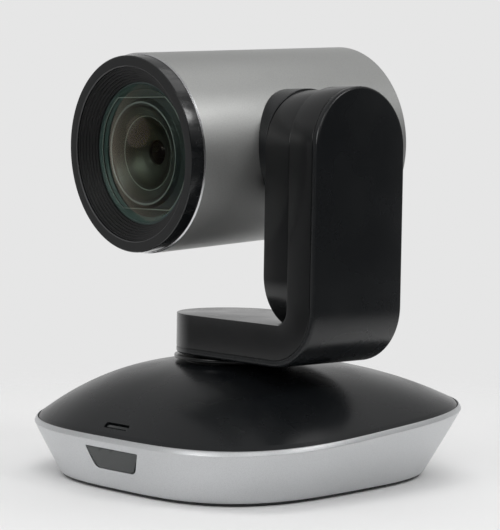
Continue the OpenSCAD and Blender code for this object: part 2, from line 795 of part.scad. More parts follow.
module hub_nut() color(steel) at_tilt() difference() {
    bar_x(nut_r, spindle_inner_x, spindle_inner_x + nut_t);
    bar_x(tilt_spindle_r, 0, barrel_radius + 9);
}

module tilt_gear() color("#d8d4c8") at_tilt_drive() difference() {
    union() {
        along_x(tilt_gear_x, tilt_gear_t) rotate(90) polygon(gear_outline(tilt_teeth));
        bar_x(tilt_spindle_r + 2.5, frame_x + arm_wall + 1.4, tilt_gear_x + tilt_gear_t);
    }
    bar_x(tilt_spindle_r, 0, arm_x);
}

module tilt_retainer() color(steel) at_tilt_drive() difference() {
    bar_x(tilt_spindle_r + 2, tilt_gear_x + tilt_gear_t, tilt_gear_x + tilt_gear_t + 1.4);
    bar_x(tilt_spindle_r, 0, arm_x);
}

module barrel_shell() color(silver) at_tilt() difference() {
    turned_y([[barrel_bore, barrel_front_y], [barrel_radius - 0.4, barrel_front_y],
        [barrel_radius, barrel_front_y + 0.4], [barrel_radius, barrel_back_y], [barrel_bore, barrel_back_y]]);
    bar_x(tilt_spindle_r + 0.15, 0, barrel_radius + 5);
}

module front_ring() color(black) at_tilt()
    turned_y([[ring_bore, front_y + 0.4], [ring_bore + 0.4, front_y], [ring_front_r - 0.2, front_y],
        [ring_front_r, front_y + 0.2], [barrel_radius - 0.5, barrel_front_y],
        [barrel_bore - 0.05, barrel_front_y], [barrel_bore - 0.05, ring_back_y], [ring_bore, ring_back_y]]);

module lens_baffle() color(charcoal) at_tilt() {
    outer = ring_bore - 0.04;
    inner = lens_radius + 0.6;
    step_r = (outer - 0.4 - inner) / baffle_steps;
    step_y = (lens_edge_y - 0.6 - front_y - 0.7) / baffle_steps;
    turned_y(concat(
        [[outer, front_y + 0.7]],
        [for (k = [0 : baffle_steps - 1]) each [
            [outer - 0.4 - k * step_r, front_y + 0.7 + k * step_y],
            [outer - 0.4 - k * step_r, front_y + 0.7 + (k + 1) * step_y]]],
        [[inner, lens_edge_y - 0.6], [inner, lens_edge_y], [housing_r + 0.1, lens_edge_y + 0.1],
         [housing_r + 0.1, ring_back_y], [outer, ring_back_y]]));
}

// Radius of the sphere that bulges by rise over a disc of radius r
function bulge_r(r, rise) = (r * r + rise * rise) / (2 * rise);

module front_lens() color("#3b5a52", 0.5) at_tilt() {
    front_r = bulge_r(lens_radius, lens_bulge);
    back_r = bulge_r(lens_radius, lens_bulge - 1.2);
    difference() {
        intersection() {
            bar_y(lens_radius, lens_edge_y - lens_bulge - 1, lens_edge_y + 2.4);
            translate([0, lens_edge_y - lens_bulge + front_r, 0]) sphere(front_r);
        }
        translate([0, lens_edge_y + 2.4 - (lens_bulge - 1.2) + back_r, 0]) sphere(back_r);
    }
}

module lens_mask() color(black) at_tilt() along_y(mask_y + mask_t, mask_t) difference() {
    circle(housing_bore - 0.05);
    intersection() {
        circle(housing_bore - 1);
        square([2 * housing_bore, 2 * mask_half_z], center = true);
    }
}

module lens_housing() color(charcoal) at_tilt() difference() {
    turned_y([[lens_radius + 0.05, lens_edge_y + 0.2], [housing_r, lens_edge_y + 0.2],
        [housing_r, ring_back_y], [barrel_bore - 0.1, ring_back_y], [barrel_bore - 0.1, ring_back_y + 1.6],
        [housing_r, ring_back_y + 1.6], [housing_r, housing_back_y], [9, housing_back_y],
        [9, housing_wall_y], [housing_bore, housing_wall_y], [housing_bore, seat_y],
        [lens_radius + 0.05, seat_y]]);
    for (x = [-rod_x, rod_x]) translate([x, 0, 0]) bar_y(rod_r, housing_wall_y - 1, housing_back_y + 1);
    translate([0, 0, -rod_x]) bar_y(zoom_screw_r + 0.2, housing_wall_y - 1, housing_back_y + 1);
}

module guide_rods() color(steel) at_tilt()
    for (x = [-rod_x, rod_x]) translate([x, 0, 0]) bar_y(rod_r, mask_y + mask_t, housing_back_y);

// A ring that slides on the two guide rods
module carriage(outer_r, bore_r, y0, length) {
    difference() {
        union() {
            bar_y(outer_r, y0, y0 + length);
            for (x = [-rod_x, rod_x]) translate([x, 0, 0]) bar_y(lug_r, y0, y0 + length);
            translate([-rod_x, y0, -1.5]) cube([2 * rod_x, length, 3]);
        }
        bar_y(bore_r, y0 - 1, y0 + length + 1);
        for (x = [-rod_x, rod_x]) translate([x, 0, 0]) bar_y(rod_r + run_clear, y0 - 1, y0 + length + 1);
    }
}

// A lens with two round faces
module round_lens(r, y0, length, bulge) {
    ball_r = bulge_r(r, bulge);
    intersection() {
        bar_y(r, y0 - 5, y0 + length + 5);
        translate([0, y0 - bulge + ball_r, 0]) sphere(ball_r, $fn = 360);
        translate([0, y0 + length + bulge - ball_r, 0]) sphere(ball_r, $fn = 360);
    }
}

module zoom_carriage() color(charcoal) at_tilt() {
    carriage(zoom_lens_r + 1.6, zoom_lens_r, zoom_y, zoom_len);
    difference() {
        union() {
            translate([0, 0, -rod_x]) bar_y(lug_r, zoom_y, zoom_y + zoom_len);
            translate([-1.6, zoom_y, -rod_x]) cube([3.2, zoom_len, rod_x - zoom_lens_r - 0.4]);
        }
        translate([0, 0, -rod_x]) bar_y(zoom_screw_r + run_clear, zoom_y - 1, zoom_y + zoom_len + 1);
    }
}

module zoom_lens() color("#4a6a60", 0.5) at_tilt()
    round_lens(zoom_lens_r, zoom_y + 1.5, 2.5, 2.2);

module focus_carriage() color(charcoal) at_tilt()
    carriage(focus_lens_r + 1.6, focus_lens_r, focus_y, focus_len);

module focus_lens() color("#5a4a5a", 0.5) at_tilt()
    round_lens(focus_lens_r, focus_y + 1, 1, 1.2);

module zoom_screw() color(steel) at_tilt() translate([0, 0, -rod_x])
    bar_y(zoom_screw_r, mask_y + mask_t + 0.4, housing_back_y + 2);

module zoom_motor() color(steel) at_tilt() translate([0, 0, -rod_x]) difference() {
    bar_y(4, housing_back_y, housing_back_y + 10);
    bar_y(zoom_screw_r + run_clear, housing_back_y - 1, housing_back_y + 2.3);
}

module image_sensor() color("#26303a") at_tilt()
    translate([-4.5, housing_back_y - 1, -3.5]) cube([9, 1, 7]);

module sensor_board() color(board_green) at_tilt()
    translate([-sensor_board_half, housing_back_y, -13]) cube([2 * sensor_board_half, board_t, 29]);

module board_standoffs() color(steel) at_tilt()
    for (x = [-standoff_x, standoff_x], z = [-standoff_z, standoff_z])
        translate([x, 0, z]) bar_y(2, housing_back_y + board_t, video_y);

module video_board() color(board_green) at_tilt()
    translate([-video_half, video_y, -video_half]) cube([2 * video_half, board_t, 2 * video_half]);

module heat_sink() color(steel) at_tilt() {
    y0 = video_y + board_t;
    translate([-sink_half, y0, -sink_half]) cube([2 * sink_half, 2, 2 * sink_half]);
    for (k = [0 : fin_count - 1])
        translate([mix(-sink_half, sink_half - fin_t, k / (fin_count - 1)), y0, -sink_half])
            cube([fin_t, sink_h, 2 * sink_half]);
}

module rear_cover() color(black) at_tilt()
    turned_y([[0, back_y - 2.2], [barrel_bore - 2, back_y - 2.2], [barrel_bore - 2, barrel_back_y - 3],
        [barrel_bore - 0.05, barrel_back_y - 3], [barrel_bore - 0.05, barrel_back_y],
        [barrel_radius - 0.02, barrel_back_y], [barrel_radius - 0.9, back_y],
        [barrel_radius - 4, back_y], [barrel_radius - 4.6, back_y - 0.6], [0, back_y - 0.6]]);

base_shell();
base_cover();
bottom_plate();
rubber_feet();
tripod_insert();
base_screws();
port_panel();
usb_port();
power_jack();
lock_plate();
pairing_button();
button_switch();
main_board();
ir_window();
ir_receiver();
status_light();
pan_chassis();
pan_bush();
pan_motor();
pan_pinion();
pan_turntable();
pan_gear();
pan_retainer();
turntable_screws();
yoke_frame();
arm_inner_cover();
arm_outer_cover();
tilt_bush();
tilt_motor();
tilt_pinion();
flex_cable();
tilt_hub();
hub_nut();
tilt_gear();
tilt_retainer();
barrel_shell();
front_ring();
lens_baffle();
front_lens();
lens_mask();
lens_housing();
guide_rods();
zoom_carriage();
zoom_lens();
zoom_screw();
zoom_motor();
focus_carriage();
focus_lens();
image_sensor();
sensor_board();
board_standoffs();
video_board();
heat_sink();
rear_cover();
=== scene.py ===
"""Pan, tilt and zoom camera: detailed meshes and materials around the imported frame.

Lengths in the modelling functions are millimetres. Each piece is drawn in one of three local frames: BASE
(the table, z up), YOKE (turned by the stored pan) and HEAD (x along the tilt axis, y back from the lens).
"""

import json
import math

import bmesh
import bpy
from mathutils import Matrix, Vector


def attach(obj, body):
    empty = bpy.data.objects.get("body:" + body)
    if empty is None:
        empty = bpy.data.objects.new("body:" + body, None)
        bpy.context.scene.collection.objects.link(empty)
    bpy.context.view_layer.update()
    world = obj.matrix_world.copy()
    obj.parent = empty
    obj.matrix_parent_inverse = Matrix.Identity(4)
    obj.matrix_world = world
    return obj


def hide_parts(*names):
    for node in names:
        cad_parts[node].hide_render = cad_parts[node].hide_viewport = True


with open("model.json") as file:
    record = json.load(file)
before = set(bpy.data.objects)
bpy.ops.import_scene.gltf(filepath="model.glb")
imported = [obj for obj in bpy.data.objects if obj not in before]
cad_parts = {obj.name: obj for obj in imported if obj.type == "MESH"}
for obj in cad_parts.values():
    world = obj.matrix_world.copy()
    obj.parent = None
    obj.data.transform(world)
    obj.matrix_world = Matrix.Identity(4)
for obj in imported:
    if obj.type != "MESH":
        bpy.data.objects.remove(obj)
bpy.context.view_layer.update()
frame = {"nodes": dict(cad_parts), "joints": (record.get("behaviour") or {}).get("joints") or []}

MM = 0.001
QUARTER = math.pi / 2
TINY = 0.01     # millimetres that stand for a radius or a width of nothing

# ---------- Camera ----------

CAMERA_PLACE = Vector((0.44175, -0.44764, 0.1130))
CAMERA_AZIMUTH = math.radians(44.623)
CAMERA_ELEVATION = math.radians(3.671)
CAMERA_ROLL = math.radians(-0.909)
FOCAL_LENGTH = 122.85
SENSOR_WIDTH = 36


def make_camera():
    """A long lens at the photograph's viewing angle."""
    az, el = CAMERA_AZIMUTH, CAMERA_ELEVATION
    right = Vector((math.cos(az), math.sin(az), 0))
    back = Vector((math.sin(az) * math.cos(el), -math.cos(az) * math.cos(el), math.sin(el)))
    up = back.cross(right)
    turn = Matrix((right, up, back)).transposed()
    roll = Matrix.Rotation(-CAMERA_ROLL, 3, "Z")
    camera = bpy.data.objects.new("camera", bpy.data.cameras.new("camera"))
    bpy.context.scene.collection.objects.link(camera)
    camera.matrix_world = Matrix.Translation(CAMERA_PLACE) @ (turn @ roll).to_4x4()
    camera.data.sensor_width = SENSOR_WIDTH
    camera.data.lens = FOCAL_LENGTH
    camera.data.clip_start = 0.01
    camera.data.clip_end = 20
    bpy.context.scene.camera = camera


make_camera()

# ---------- Local frames and sizes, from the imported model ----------

JOINT = {j["name"]: j for j in frame["joints"]}


def basis(x_axis, y_axis, origin):
    """A frame with these two axes, the third square to them, at origin in metres."""
    x_axis, y_axis = Vector(x_axis).normalized(), Vector(y_axis).normalized()
    turn = Matrix((x_axis, y_axis, x_axis.cross(y_axis))).transposed()
    return Matrix.Translation(Vector(origin)) @ turn.to_4x4()


TILT_AXIS = Vector(JOINT["tilt"]["axis"])
PAN_PLACE = Vector(JOINT["pan"]["pos_m"])
BASE = Matrix.Identity(4)
YOKE = basis(TILT_AXIS, (-TILT_AXIS.y, TILT_AXIS.x, 0), (PAN_PLACE.x, PAN_PLACE.y, 0))
HEAD = basis(TILT_AXIS, JOINT["zoom"]["axis"], JOINT["tilt"]["pos_m"])


def span(node, place):
    """Lowest and highest corner of a CAD node in a local frame, in millimetres."""
    into = place.inverted()
    points = [into @ v.co / MM for v in frame["nodes"][node].data.vertices]
    low = Vector([min(p[k] for p in points) for k in range(3)])
    high = Vector([max(p[k] for p in points) for k in range(3)])
    return low, high


shell_low, shell_high = span("base_shell", BASE)
_, cover_high = span("base_cover", BASE)
disc_low, disc_high = span("pan_turntable", YOKE)
yoke_low, yoke_high = span("yoke_frame", YOKE)
pod_low, pod_high = span("arm_inner_cover", YOKE)
skin_low, skin_high = span("arm_outer_cover", YOKE)
barrel_low, barrel_high = span("barrel_shell", HEAD)
ring_low, ring_high = span("front_ring", HEAD)
_, lens_high = span("front_lens", HEAD)
hub_low, hub_high = span("tilt_hub", HEAD)
_, rear_high = span("rear_cover", HEAD)

PAN_Y = PAN_PLACE.y / MM
PIVOT_Z = JOINT["tilt"]["pos_m"][2] / MM

# Base: a squircle lip over a skirt that draws in towards the table
AROUND = 288                # points in each ring of the base
LIP_A = shell_high.x        # half width and half depth at the lip
LIP_B = shell_high.y
LIP_SQUARENESS = 3.22       # 2 is an ellipse, more is squarer
LIP_SLOPE = 0.063           # the lip rises towards the back
CREST_DROP = 0.08           # from the lip's guide line down to its crest
LIP_HEIGHT = shell_high.z - LIP_SLOPE * LIP_B + CREST_DROP
LIP_BAND = 1.7              # height of the rounded band over the skirt
SIDE_TAPER = 13.1           # how far the skirt draws in, at the sides and at front and back
END_TAPER = 6.6
FOOT_A = LIP_A - SIDE_TAPER
FOOT_B = LIP_B - END_TAPER
FOOT_SHIFT = -1.7           # the skirt's foot sits a little towards the front
SKIRT_BOTTOM = shell_low.z
SKIRT_BULGE = 0.1
SKIRT_WALL = 2.2
SEAM_INSET = 1.15           # from the lip's widest line in to the cover
CROWN = cover_high.z
COVER_POWER = 2.75          # how long the cover stays high before it falls to the edge
COVER_HOLE_R = 17.1
RECESS_GAP = 0.12           # between the skirt and the socket panel

# Sections of the lip, from its widest line over the crest, and of the cover's edge: (inset, drop)
LIP_PROFILE = [(0, 1.66), (0.01, 1.58), (0.06, 1.44), (0.26, 0.96), (0.48, 0.5), (0.58, 0.32), (0.7, 0.17),
               (0.83, 0.1), (0.94, 0.14), (1.0, 0.3), (1.0, 2.2), (3.5, 2.2)]
COVER_EDGE = [(0, 2.2), (0, 0.62), (0.06, 0.38), (0.2, 0.17), (0.42, 0.01)]

# IR window and status slot
WINDOW_X = 1.2
WINDOW_TOP = 14.7
WINDOW_LOW = 7.8
WINDOW_HALF_TOP = 12.6
WINDOW_HALF_LOW = 9.5
WINDOW_TOP_R = 0.5
WINDOW_LOW_R = 3.2
WINDOW_GAP = 0.22
SLOT_S = 0.945              # its place on the cover: 0 at the crown, 1 at the edge
SLOT_HALF = 5.7
SLOT_WIDTH = 2.3
SLOT_CORNER_R = 0.9

# Yoke: foot, corner and arm
ARM_HALF = yoke_high.y
FOOT_BOTTOM = skin_low.z
FRAME_BOTTOM = yoke_low.z
FOOT_TOP = 56.5
COVER_X = yoke_high.x
FRAME_X = pod_high.x
POD_X = pod_low.x
ARM_X = skin_high.x
CORNER_R = 19.6
FRAME_CORNER_R = CORNER_R - 2
INNER_FILLET = 5
BEND_X = COVER_X - FRAME_CORNER_R       # the foot's flat ends here and the corner begins
BEND_Z = FRAME_BOTTOM + FRAME_CORNER_R  # the corner ends here and the arm begins
POD_LOW_Z = FOOT_TOP + 16.2
POD_TOP_Z = PIVOT_Z - 0.9               # the pod's top looks lower than an arc round the tilt axis
DISC_TOP = 42.1

# Head
BARREL_R = barrel_high.z
BARREL_FRONT = barrel_low.y
BARREL_BACK = barrel_high.y
BARREL_WALL = 1.8
SPIGOT_R = BARREL_R - BARREL_WALL - 0.05    # what fits inside the barrel
RING_FRONT = ring_low.y
RING_BACK = ring_high.y
RING_R = BARREL_R - 0.75
RING_FACE = 3.64
RING_BORE = RING_R - RING_FACE
HUB_R = 19.4
HUB_X = 36
REAR_BACK = rear_high.y

# Optics
LENS_R = lens_high.z
LENS_EDGE = RING_FRONT + 5.6
LENS_BULGE = 4.2
MASK_Y = LENS_EDGE + 0.9
MASK_HALF = 18.2
CELL_R = 16.8
CELL_Y = LENS_EDGE + 0.3
INNER_CELL_R = 12.1
INNER_CELL_Y = LENS_EDGE + 2.6
PUPIL_R = 4.2
PUPIL_Y = LENS_EDGE + 6.5

# ---------- Materials ----------


class Shade:
    """A Principled material whose colour, roughness and relief can be driven by procedural textures."""

    def __init__(self, name, colour, roughness, **sockets):
        self.material = bpy.data.materials.new(name)
        self.material.use_nodes = True
        self.tree = self.material.node_tree
        self.shader = self.tree.nodes["Principled BSDF"]
        self.colour = colour
        self.shader.inputs["Base Color"].default_value = (*colour, 1)
        self.shader.inputs["Roughness"].default_value = roughness
        for key, value in sockets.items():
            self.shader.inputs[key.replace("_", " ")].default_value = value
        self.place = self.tree.nodes.new("ShaderNodeTexCoord").outputs["Object"]

    def link(self, source, target):
        self.tree.links.new(source, target)

    def stretched(self, scale):
        """The object's coordinates, scaled by a vector."""
        node = self.tree.nodes.new("ShaderNodeMapping")
        node.inputs["Scale"].default_value = scale
        self.link(self.place, node.inputs["Vector"])
        return node.outputs["Vector"]

    def noise(self, size_mm, detail=2, source=None):
        """Noise with features of about size_mm, from 0 to 1."""
        node = self.tree.nodes.new("ShaderNodeTexNoise")
        node.inputs["Scale"].default_value = 1 / (size_mm * MM)
        node.inputs["Detail"].default_value = detail
        self.link(source or self.place, node.inputs["Vector"])
        return node.outputs["Fac"]

    def remap(self, source, low, high, to_low=0.0, to_high=1.0):
        """Maps low..high to to_low..to_high, clamped."""
        node = self.tree.nodes.new("ShaderNodeMapRange")
        for key, value in (("From Min", low), ("From Max", high), ("To Min", to_low), ("To Max", to_high)):
            node.inputs[key].default_value = value
        self.link(source, node.inputs["Value"])
        return node.outputs["Result"]

    def maths(self, operation, first, second):
        node = self.tree.nodes.new("ShaderNodeMath")
        node.operation = operation
        for socket, value in zip(node.inputs, (first, second)):
            if isinstance(value, (int, float)):
                socket.default_value = value
            else:
                self.link(value, socket)
        return node.outputs[0]

    def tint(self, share, colour):
        """Mixes colour over the base colour where share is above 0."""
        node = self.tree.nodes.new("ShaderNodeMix")
        node.data_type = "RGBA"
        target = self.shader.inputs["Base Color"]
        if target.is_linked:
            self.link(target.links[0].from_socket, node.inputs["A"])
        else:
            node.inputs["A"].default_value = (*self.colour, 1)
        node.inputs["B"].default_value = (*colour, 1)
        self.link(share, node.inputs["Factor"])
        self.link(node.outputs["Result"], target)

    def rough(self, source, low, high, to_low, to_high):
        self.link(self.remap(source, low, high, to_low, to_high), self.shader.inputs["Roughness"])

    def bump(self, source, height_mm, strength=1.0):
        """Relief of about height_mm from a 0 to 1 texture."""
        node = self.tree.nodes.new("ShaderNodeBump")
        node.inputs["Distance"].default_value = height_mm * MM
        node.inputs["Strength"].default_value = strength
        self.link(source, node.inputs["Height"])
        target = self.shader.inputs["Normal"]
        if target.is_linked:
            self.link(target.links[0].from_socket, node.inputs["Normal"])
        self.link(node.outputs["Normal"], target)

    def specks(self, spacing_mm, radius_mm, share, colour):
        """A few tiny specks of dust: one cell in so many holds a dot."""
        node = self.tree.nodes.new("ShaderNodeTexVoronoi")
        node.inputs["Scale"].default_value = 1 / (spacing_mm * MM)
        self.link(self.place, node.inputs["Vector"])
        size = radius_mm / spacing_mm
        dot = self.remap(node.outputs["Distance"], size * 0.5, size, 1, 0)
        picked = self.remap(node.outputs["Color"], 1 - share, 1 - share + 0.02)
        self.tint(self.maths("MULTIPLY", dot, picked), colour)


def silver_paint(name, grain_mm, colour, roughness):
    """Metallic paint: fine flake grain, a slightly uneven gloss and faint handling marks."""
    shade = Shade(name, colour, roughness, Metallic=0.75, Coat_Weight=0.15, Coat_Roughness=0.35)
    flake = shade.noise(grain_mm, 3)
    shade.tint(shade.remap(flake, 0.4, 0.7, 0, 0.3), tuple(c * 1.28 for c in colour))
    shade.tint(shade.remap(flake, 0.45, 0.3, 0, 0.28), tuple(c * 0.72 for c in colour))
    marks = shade.noise(14, 4)
    shade.tint(shade.remap(marks, 0.62, 0.8, 0, 0.12), tuple(c * 0.8 for c in colour))
    shade.rough(shade.noise(22, 5), 0.3, 0.7, roughness - 0.04, roughness + 0.05)
    shade.bump(flake, 0.007, 0.5)
    return shade.material


def moulded_plastic(name, colour, roughness, grain_mm=0.35, relief_mm=0.006, dust=True):
    """Spark-eroded moulded plastic: fine even grain, soft gloss changes and a little dust."""
    shade = Shade(name, colour, roughness, Specular_IOR_Level=0.5)
    grain = shade.noise(grain_mm, 4)
    shade.rough(shade.noise(18, 5), 0.3, 0.72, roughness - 0.04, roughness + 0.07)
    shade.tint(shade.remap(shade.noise(25, 3), 0.35, 0.75, 0, 0.5), tuple(c * 1.22 for c in colour))
    shade.bump(grain, relief_mm, 0.7)
    if dust:
        shade.specks(9, 0.24, 0.1, (0.3, 0.3, 0.29))
    return shade.material


def glossy_plastic(name, colour, roughness):
    """Polished black band: thin scuffs and smears on a hard gloss."""
    shade = Shade(name, colour, roughness, Coat_Weight=0.3, Coat_Roughness=0.08)
    smear = shade.noise(3.2, 6, shade.stretched((1, 0.35, 1)))
    shade.rough(smear, 0.45, 0.75, roughness, roughness + 0.3)
    scuff = shade.noise(1.1, 8, shade.stretched((1, 3, 1)))
    shade.tint(shade.remap(scuff, 0.64, 0.76, 0, 0.3), (0.16, 0.16, 0.16))
    shade.bump(shade.noise(0.7, 5), 0.006, 0.5)
    shade.specks(4, 0.13, 0.16, (0.5, 0.5, 0.5))
    return shade.material


def metal(name, colour, roughness, brushed=(1, 1, 1)):
    """Machined or drawn metal: fine grain, pulled into lines where brushed is uneven."""
    shade = Shade(name, colour, roughness, Metallic=1.0)
    lines = shade.noise(0.5, 4, shade.stretched(brushed))
    shade.rough(lines, 0.3, 0.7, roughness * 0.75, roughness * 1.35)
    shade.tint(shade.remap(shade.noise(6, 3), 0.4, 0.8, 0, 0.35), tuple(c * 0.75 for c in colour))
    shade.bump(lines, 0.004, 0.5)
    return shade.material


def soft_rubber(name):
    """Matt rubber with paler, worn patches."""
    shade = Shade(name, (0.018, 0.018, 0.019), 0.8, Specular_IOR_Level=0.3)
    shade.tint(shade.remap(shade.noise(2.5, 5), 0.5, 0.75, 0, 0.6), (0.05, 0.05, 0.048))
    shade.bump(shade.noise(0.4, 4), 0.03, 0.6)
    return shade.material


def circuit_board(name):
    """Green solder mask with tracks under it and a few bare pads."""
    shade = Shade(name, (0.012, 0.085, 0.04), 0.35, Coat_Weight=0.4)
    track = shade.noise(1.6, 0, shade.stretched((1, 0.12, 1)))
    shade.tint(shade.remap(track, 0.52, 0.55, 0, 0.7), (0.03, 0.16, 0.07))
    pad = shade.noise(2.2, 1)
    shade.tint(shade.remap(pad, 0.7, 0.72), (0.55, 0.42, 0.2))
    shade.bump(track, 0.02, 0.5)
    return shade.material


def lens_glass(name, tint, film_nm, ior=1.52, film_ior=1.38):
    """Clear glass with a thin film on it, which dims and colours its reflections, and a trace of haze."""
    shade = Shade(name, tint, 0.0, Transmission_Weight=1.0, IOR=ior,
                  Thin_Film_Thickness=film_nm, Thin_Film_IOR=film_ior)
    shade.rough(shade.noise(9, 4), 0.55, 0.85, 0.0, 0.012)
    return shade.material


def smoked_plastic(name, colour):
    """Dark window plastic: a hard gloss over a tinted body."""
    shade = Shade(name, colour, 0.22, Coat_Weight=0.5, Coat_Roughness=0.12)
    shade.tint(shade.remap(shade.noise(12, 3), 0.35, 0.7, 0, 0.5), tuple(c * 1.25 for c in colour))
    shade.bump(shade.noise(1.5, 3), 0.004, 0.4)
    return shade.material


MATERIALS = {
    "silver_skirt": silver_paint("silver_skirt", 0.28, (0.635, 0.645, 0.655), 0.44),
    "silver_barrel": silver_paint("silver_barrel", 0.34, (0.50, 0.505, 0.495), 0.44),
    "bright_edge": metal("bright_edge", (0.75, 0.75, 0.76), 0.18),
    "black_cover": moulded_plastic("black_cover", (0.0085, 0.0097, 0.011), 0.26),
    "charcoal": moulded_plastic("charcoal", (0.0098, 0.0103, 0.0108), 0.22),
    "gloss_black": glossy_plastic("gloss_black", (0.008, 0.009, 0.010), 0.14),
    "matte_black": moulded_plastic("matte_black", (0.009, 0.009, 0.0095), 0.5, 0.2, 0.004, False),
    "ring_face": moulded_plastic("ring_face", (0.0085, 0.009, 0.0095), 0.5, 0.25, 0.008, False),
    # Pale grey on the lens ring's inner chamfer: a painted highlight along the edge.
    "inner_edge_painted_highlight": moulded_plastic("inner_edge_painted_highlight", (0.07, 0.07, 0.072), 0.4, 0.2, 0.004, False),
    # Pale grey on the lens cell's thin rims: a painted highlight for the bright arcs along their edges.
    "rim_painted_highlight": moulded_plastic("rim_painted_highlight", (0.13, 0.135, 0.13), 0.35, 0.2, 0.003, False),
    # Teal on the seat under the front glass's rim: a painted reflection standing in for the coated glass's
    # coloured rim reflection.
    "seat_rim_painted_reflection": moulded_plastic("seat_rim_painted_reflection", (0.05, 0.075, 0.07), 0.3, 0.2, 0.003, False),
    # A black baffle face painted pale grey: a painted sheen for the light and reflection that fall on it.
    "mask_painted_sheen": moulded_plastic("mask_painted_sheen", (0.19, 0.20, 0.185), 0.5, 0.3, 0.004, False),
    "cell_plate": moulded_plastic("cell_plate", (0.006, 0.0105, 0.0085), 0.4, 0.3, 0.003, False),
    "cell_cone": moulded_plastic("cell_cone", (0.006, 0.006, 0.0048), 0.34, 0.3, 0.003, False),
    "rubber": soft_rubber("rubber"),
    "brass": metal("brass", (0.62, 0.45, 0.19), 0.3),
    "steel": metal("steel", (0.52, 0.53, 0.54), 0.3, (1, 0.2, 1)),
    "circuit_board": circuit_board("circuit_board"),
    "smoked_window": smoked_plastic("smoked_window", (0.013, 0.017, 0.017)),
    "status_lens": smoked_plastic("status_lens", (0.012, 0.014, 0.015)),
    "front_glass": lens_glass("front_glass", (0.80, 0.90, 0.84), 132, 1.52, 1.28),
    "inner_glass": lens_glass("inner_glass", (0.90, 0.97, 0.92), 300),
    "second_glass": lens_glass("second_glass", (0.92, 0.93, 0.88), 130, 1.14, 1.08),
    "third_glass": lens_glass("third_glass", (0.92, 0.93, 0.88), 140, 1.14, 1.08),
    "pupil_glass": lens_glass("pupil_glass", (0.90, 0.85, 0.85), 105, 1.45, 1.3),
    "gear_acetal": moulded_plastic("gear_acetal", (0.62, 0.58, 0.5), 0.45, 0.3, 0.004, False),
    "flex_film": moulded_plastic("flex_film", (0.5, 0.36, 0.16), 0.3, 0.3, 0.004, False),
    "sensor_glass": smoked_plastic("sensor_glass", (0.02, 0.03, 0.045)),
}

# ---------- Mesh tools ----------

SHARP = math.radians(38)


def finish_mesh(obj):
    """Smooth faces with sharp edges where they turn by more than SHARP."""
    obj.data.shade_smooth()
    obj.data.set_sharp_from_angle(angle=SHARP)
    return obj


def make_piece(name, points, faces, place, materials, paint=None):
    """A mesh object from local points in millimetres. paint(centre) gives a face's material number."""
    mesh = bpy.data.meshes.new(name)
    mesh.from_pydata([place @ (Vector(p) * MM) for p in points], [], faces)
    for material in materials:
        mesh.materials.append(MATERIALS[material])
    if paint:
        for face in mesh.polygons:
            centre = sum((Vector(points[v]) for v in face.vertices), Vector()) / len(face.vertices)
            face.material_index = paint(centre)
    edit = bmesh.new()
    edit.from_mesh(mesh)
    bmesh.ops.remove_doubles(edit, verts=edit.verts, dist=1e-7)
    bmesh.ops.dissolve_degenerate(edit, edges=edit.edges, dist=1e-8)
    bmesh.ops.recalc_face_normals(edit, faces=edit.faces)
    edit.to_mesh(mesh)
    edit.free()
    obj = bpy.data.objects.new(name, mesh)
    bpy.context.scene.collection.objects.link(obj)
    return finish_mesh(obj)


def soften(corners, closed=True, steps=5):
    """Rounds the corners of a path. A corner is (a, b) or (a, b, radius)."""
    out = []
    count = len(corners)
    for i, corner in enumerate(corners):
        here = Vector(corner[:2])
        radius = corner[2] if len(corner) > 2 else 0
        ends = not closed and i in (0, count - 1)
        if not radius or ends:
            out.append(tuple(here))
            continue
        before = (Vector(corners[i - 1][:2]) - here)
        after = (Vector(corners[(i + 1) % count][:2]) - here)
        half = before.angle(after) / 2
        reach = min(radius / math.tan(half), before.length * 0.49, after.length * 0.49)
        start, end = here + before.normalized() * reach, here + after.normalized() * reach
        for k in range(steps + 1):
            t = k / steps
            out.append(tuple(start * (1 - t) ** 2 + here * 2 * t * (1 - t) + end * t * t))
    return out


def turned(name, corners, place, materials, axis="Y", closed=True, around=256, paint=None):
    """A round piece about a local axis. corners are (radius, along) or (radius, along, fillet)."""
    path = soften(corners, closed)
    points, faces = [], []
    for i in range(around):
        t = 2 * math.pi * i / around
        c, s = math.cos(t), math.sin(t)
        for r, a in path:
            points.append({"Y": (r * c, a, r * s), "X": (a, r * c, r * s), "Z": (r * c, r * s, a)}[axis])
    n = len(path)
    for i in range(around):
        for k in range(n if closed else n - 1):
            a, b = i * n + k, i * n + (k + 1) % n
            c, d = ((i + 1) % around) * n + (k + 1) % n, ((i + 1) % around) * n + k
            faces.append((a, b, c, d))
    return make_piece(name, points, faces, place, materials, paint)


def lofted(name, rings, place, materials, closed=True, caps=False, paint=None):
    """A skin through rings of equal length. closed joins the last ring to the first; caps close both ends."""
    points = [p for ring in rings for p in ring]
    n, m = len(rings[0]), len(rings)
    faces = []
    for j in range(m if closed else m - 1):
        for i in range(n):
            a, b = j * n + i, j * n + (i + 1) % n
            c, d = ((j + 1) % m) * n + (i + 1) % n, ((j + 1) % m) * n + i
            faces.append((a, b, c, d))
    if caps:
        faces.append(tuple(range(n)))
        faces.append(tuple((m - 1) * n + i for i in range(n)))
    return make_piece(name, points, faces, place, materials, paint)


def quarter_turn(steps):
    """Sines and cosines from 0 to 90 degrees."""
    return [(math.sin(QUARTER * k / steps), math.cos(QUARTER * k / steps)) for k in range(steps + 1)]


def paired_fill(ring_start, count):
    """Strips across a ring whose first half and second half face each other."""
    return [(ring_start + i, ring_start + i + 1, ring_start + count - 2 - i, ring_start + count - 1 - i)
            for i in range(count // 2 - 1)]


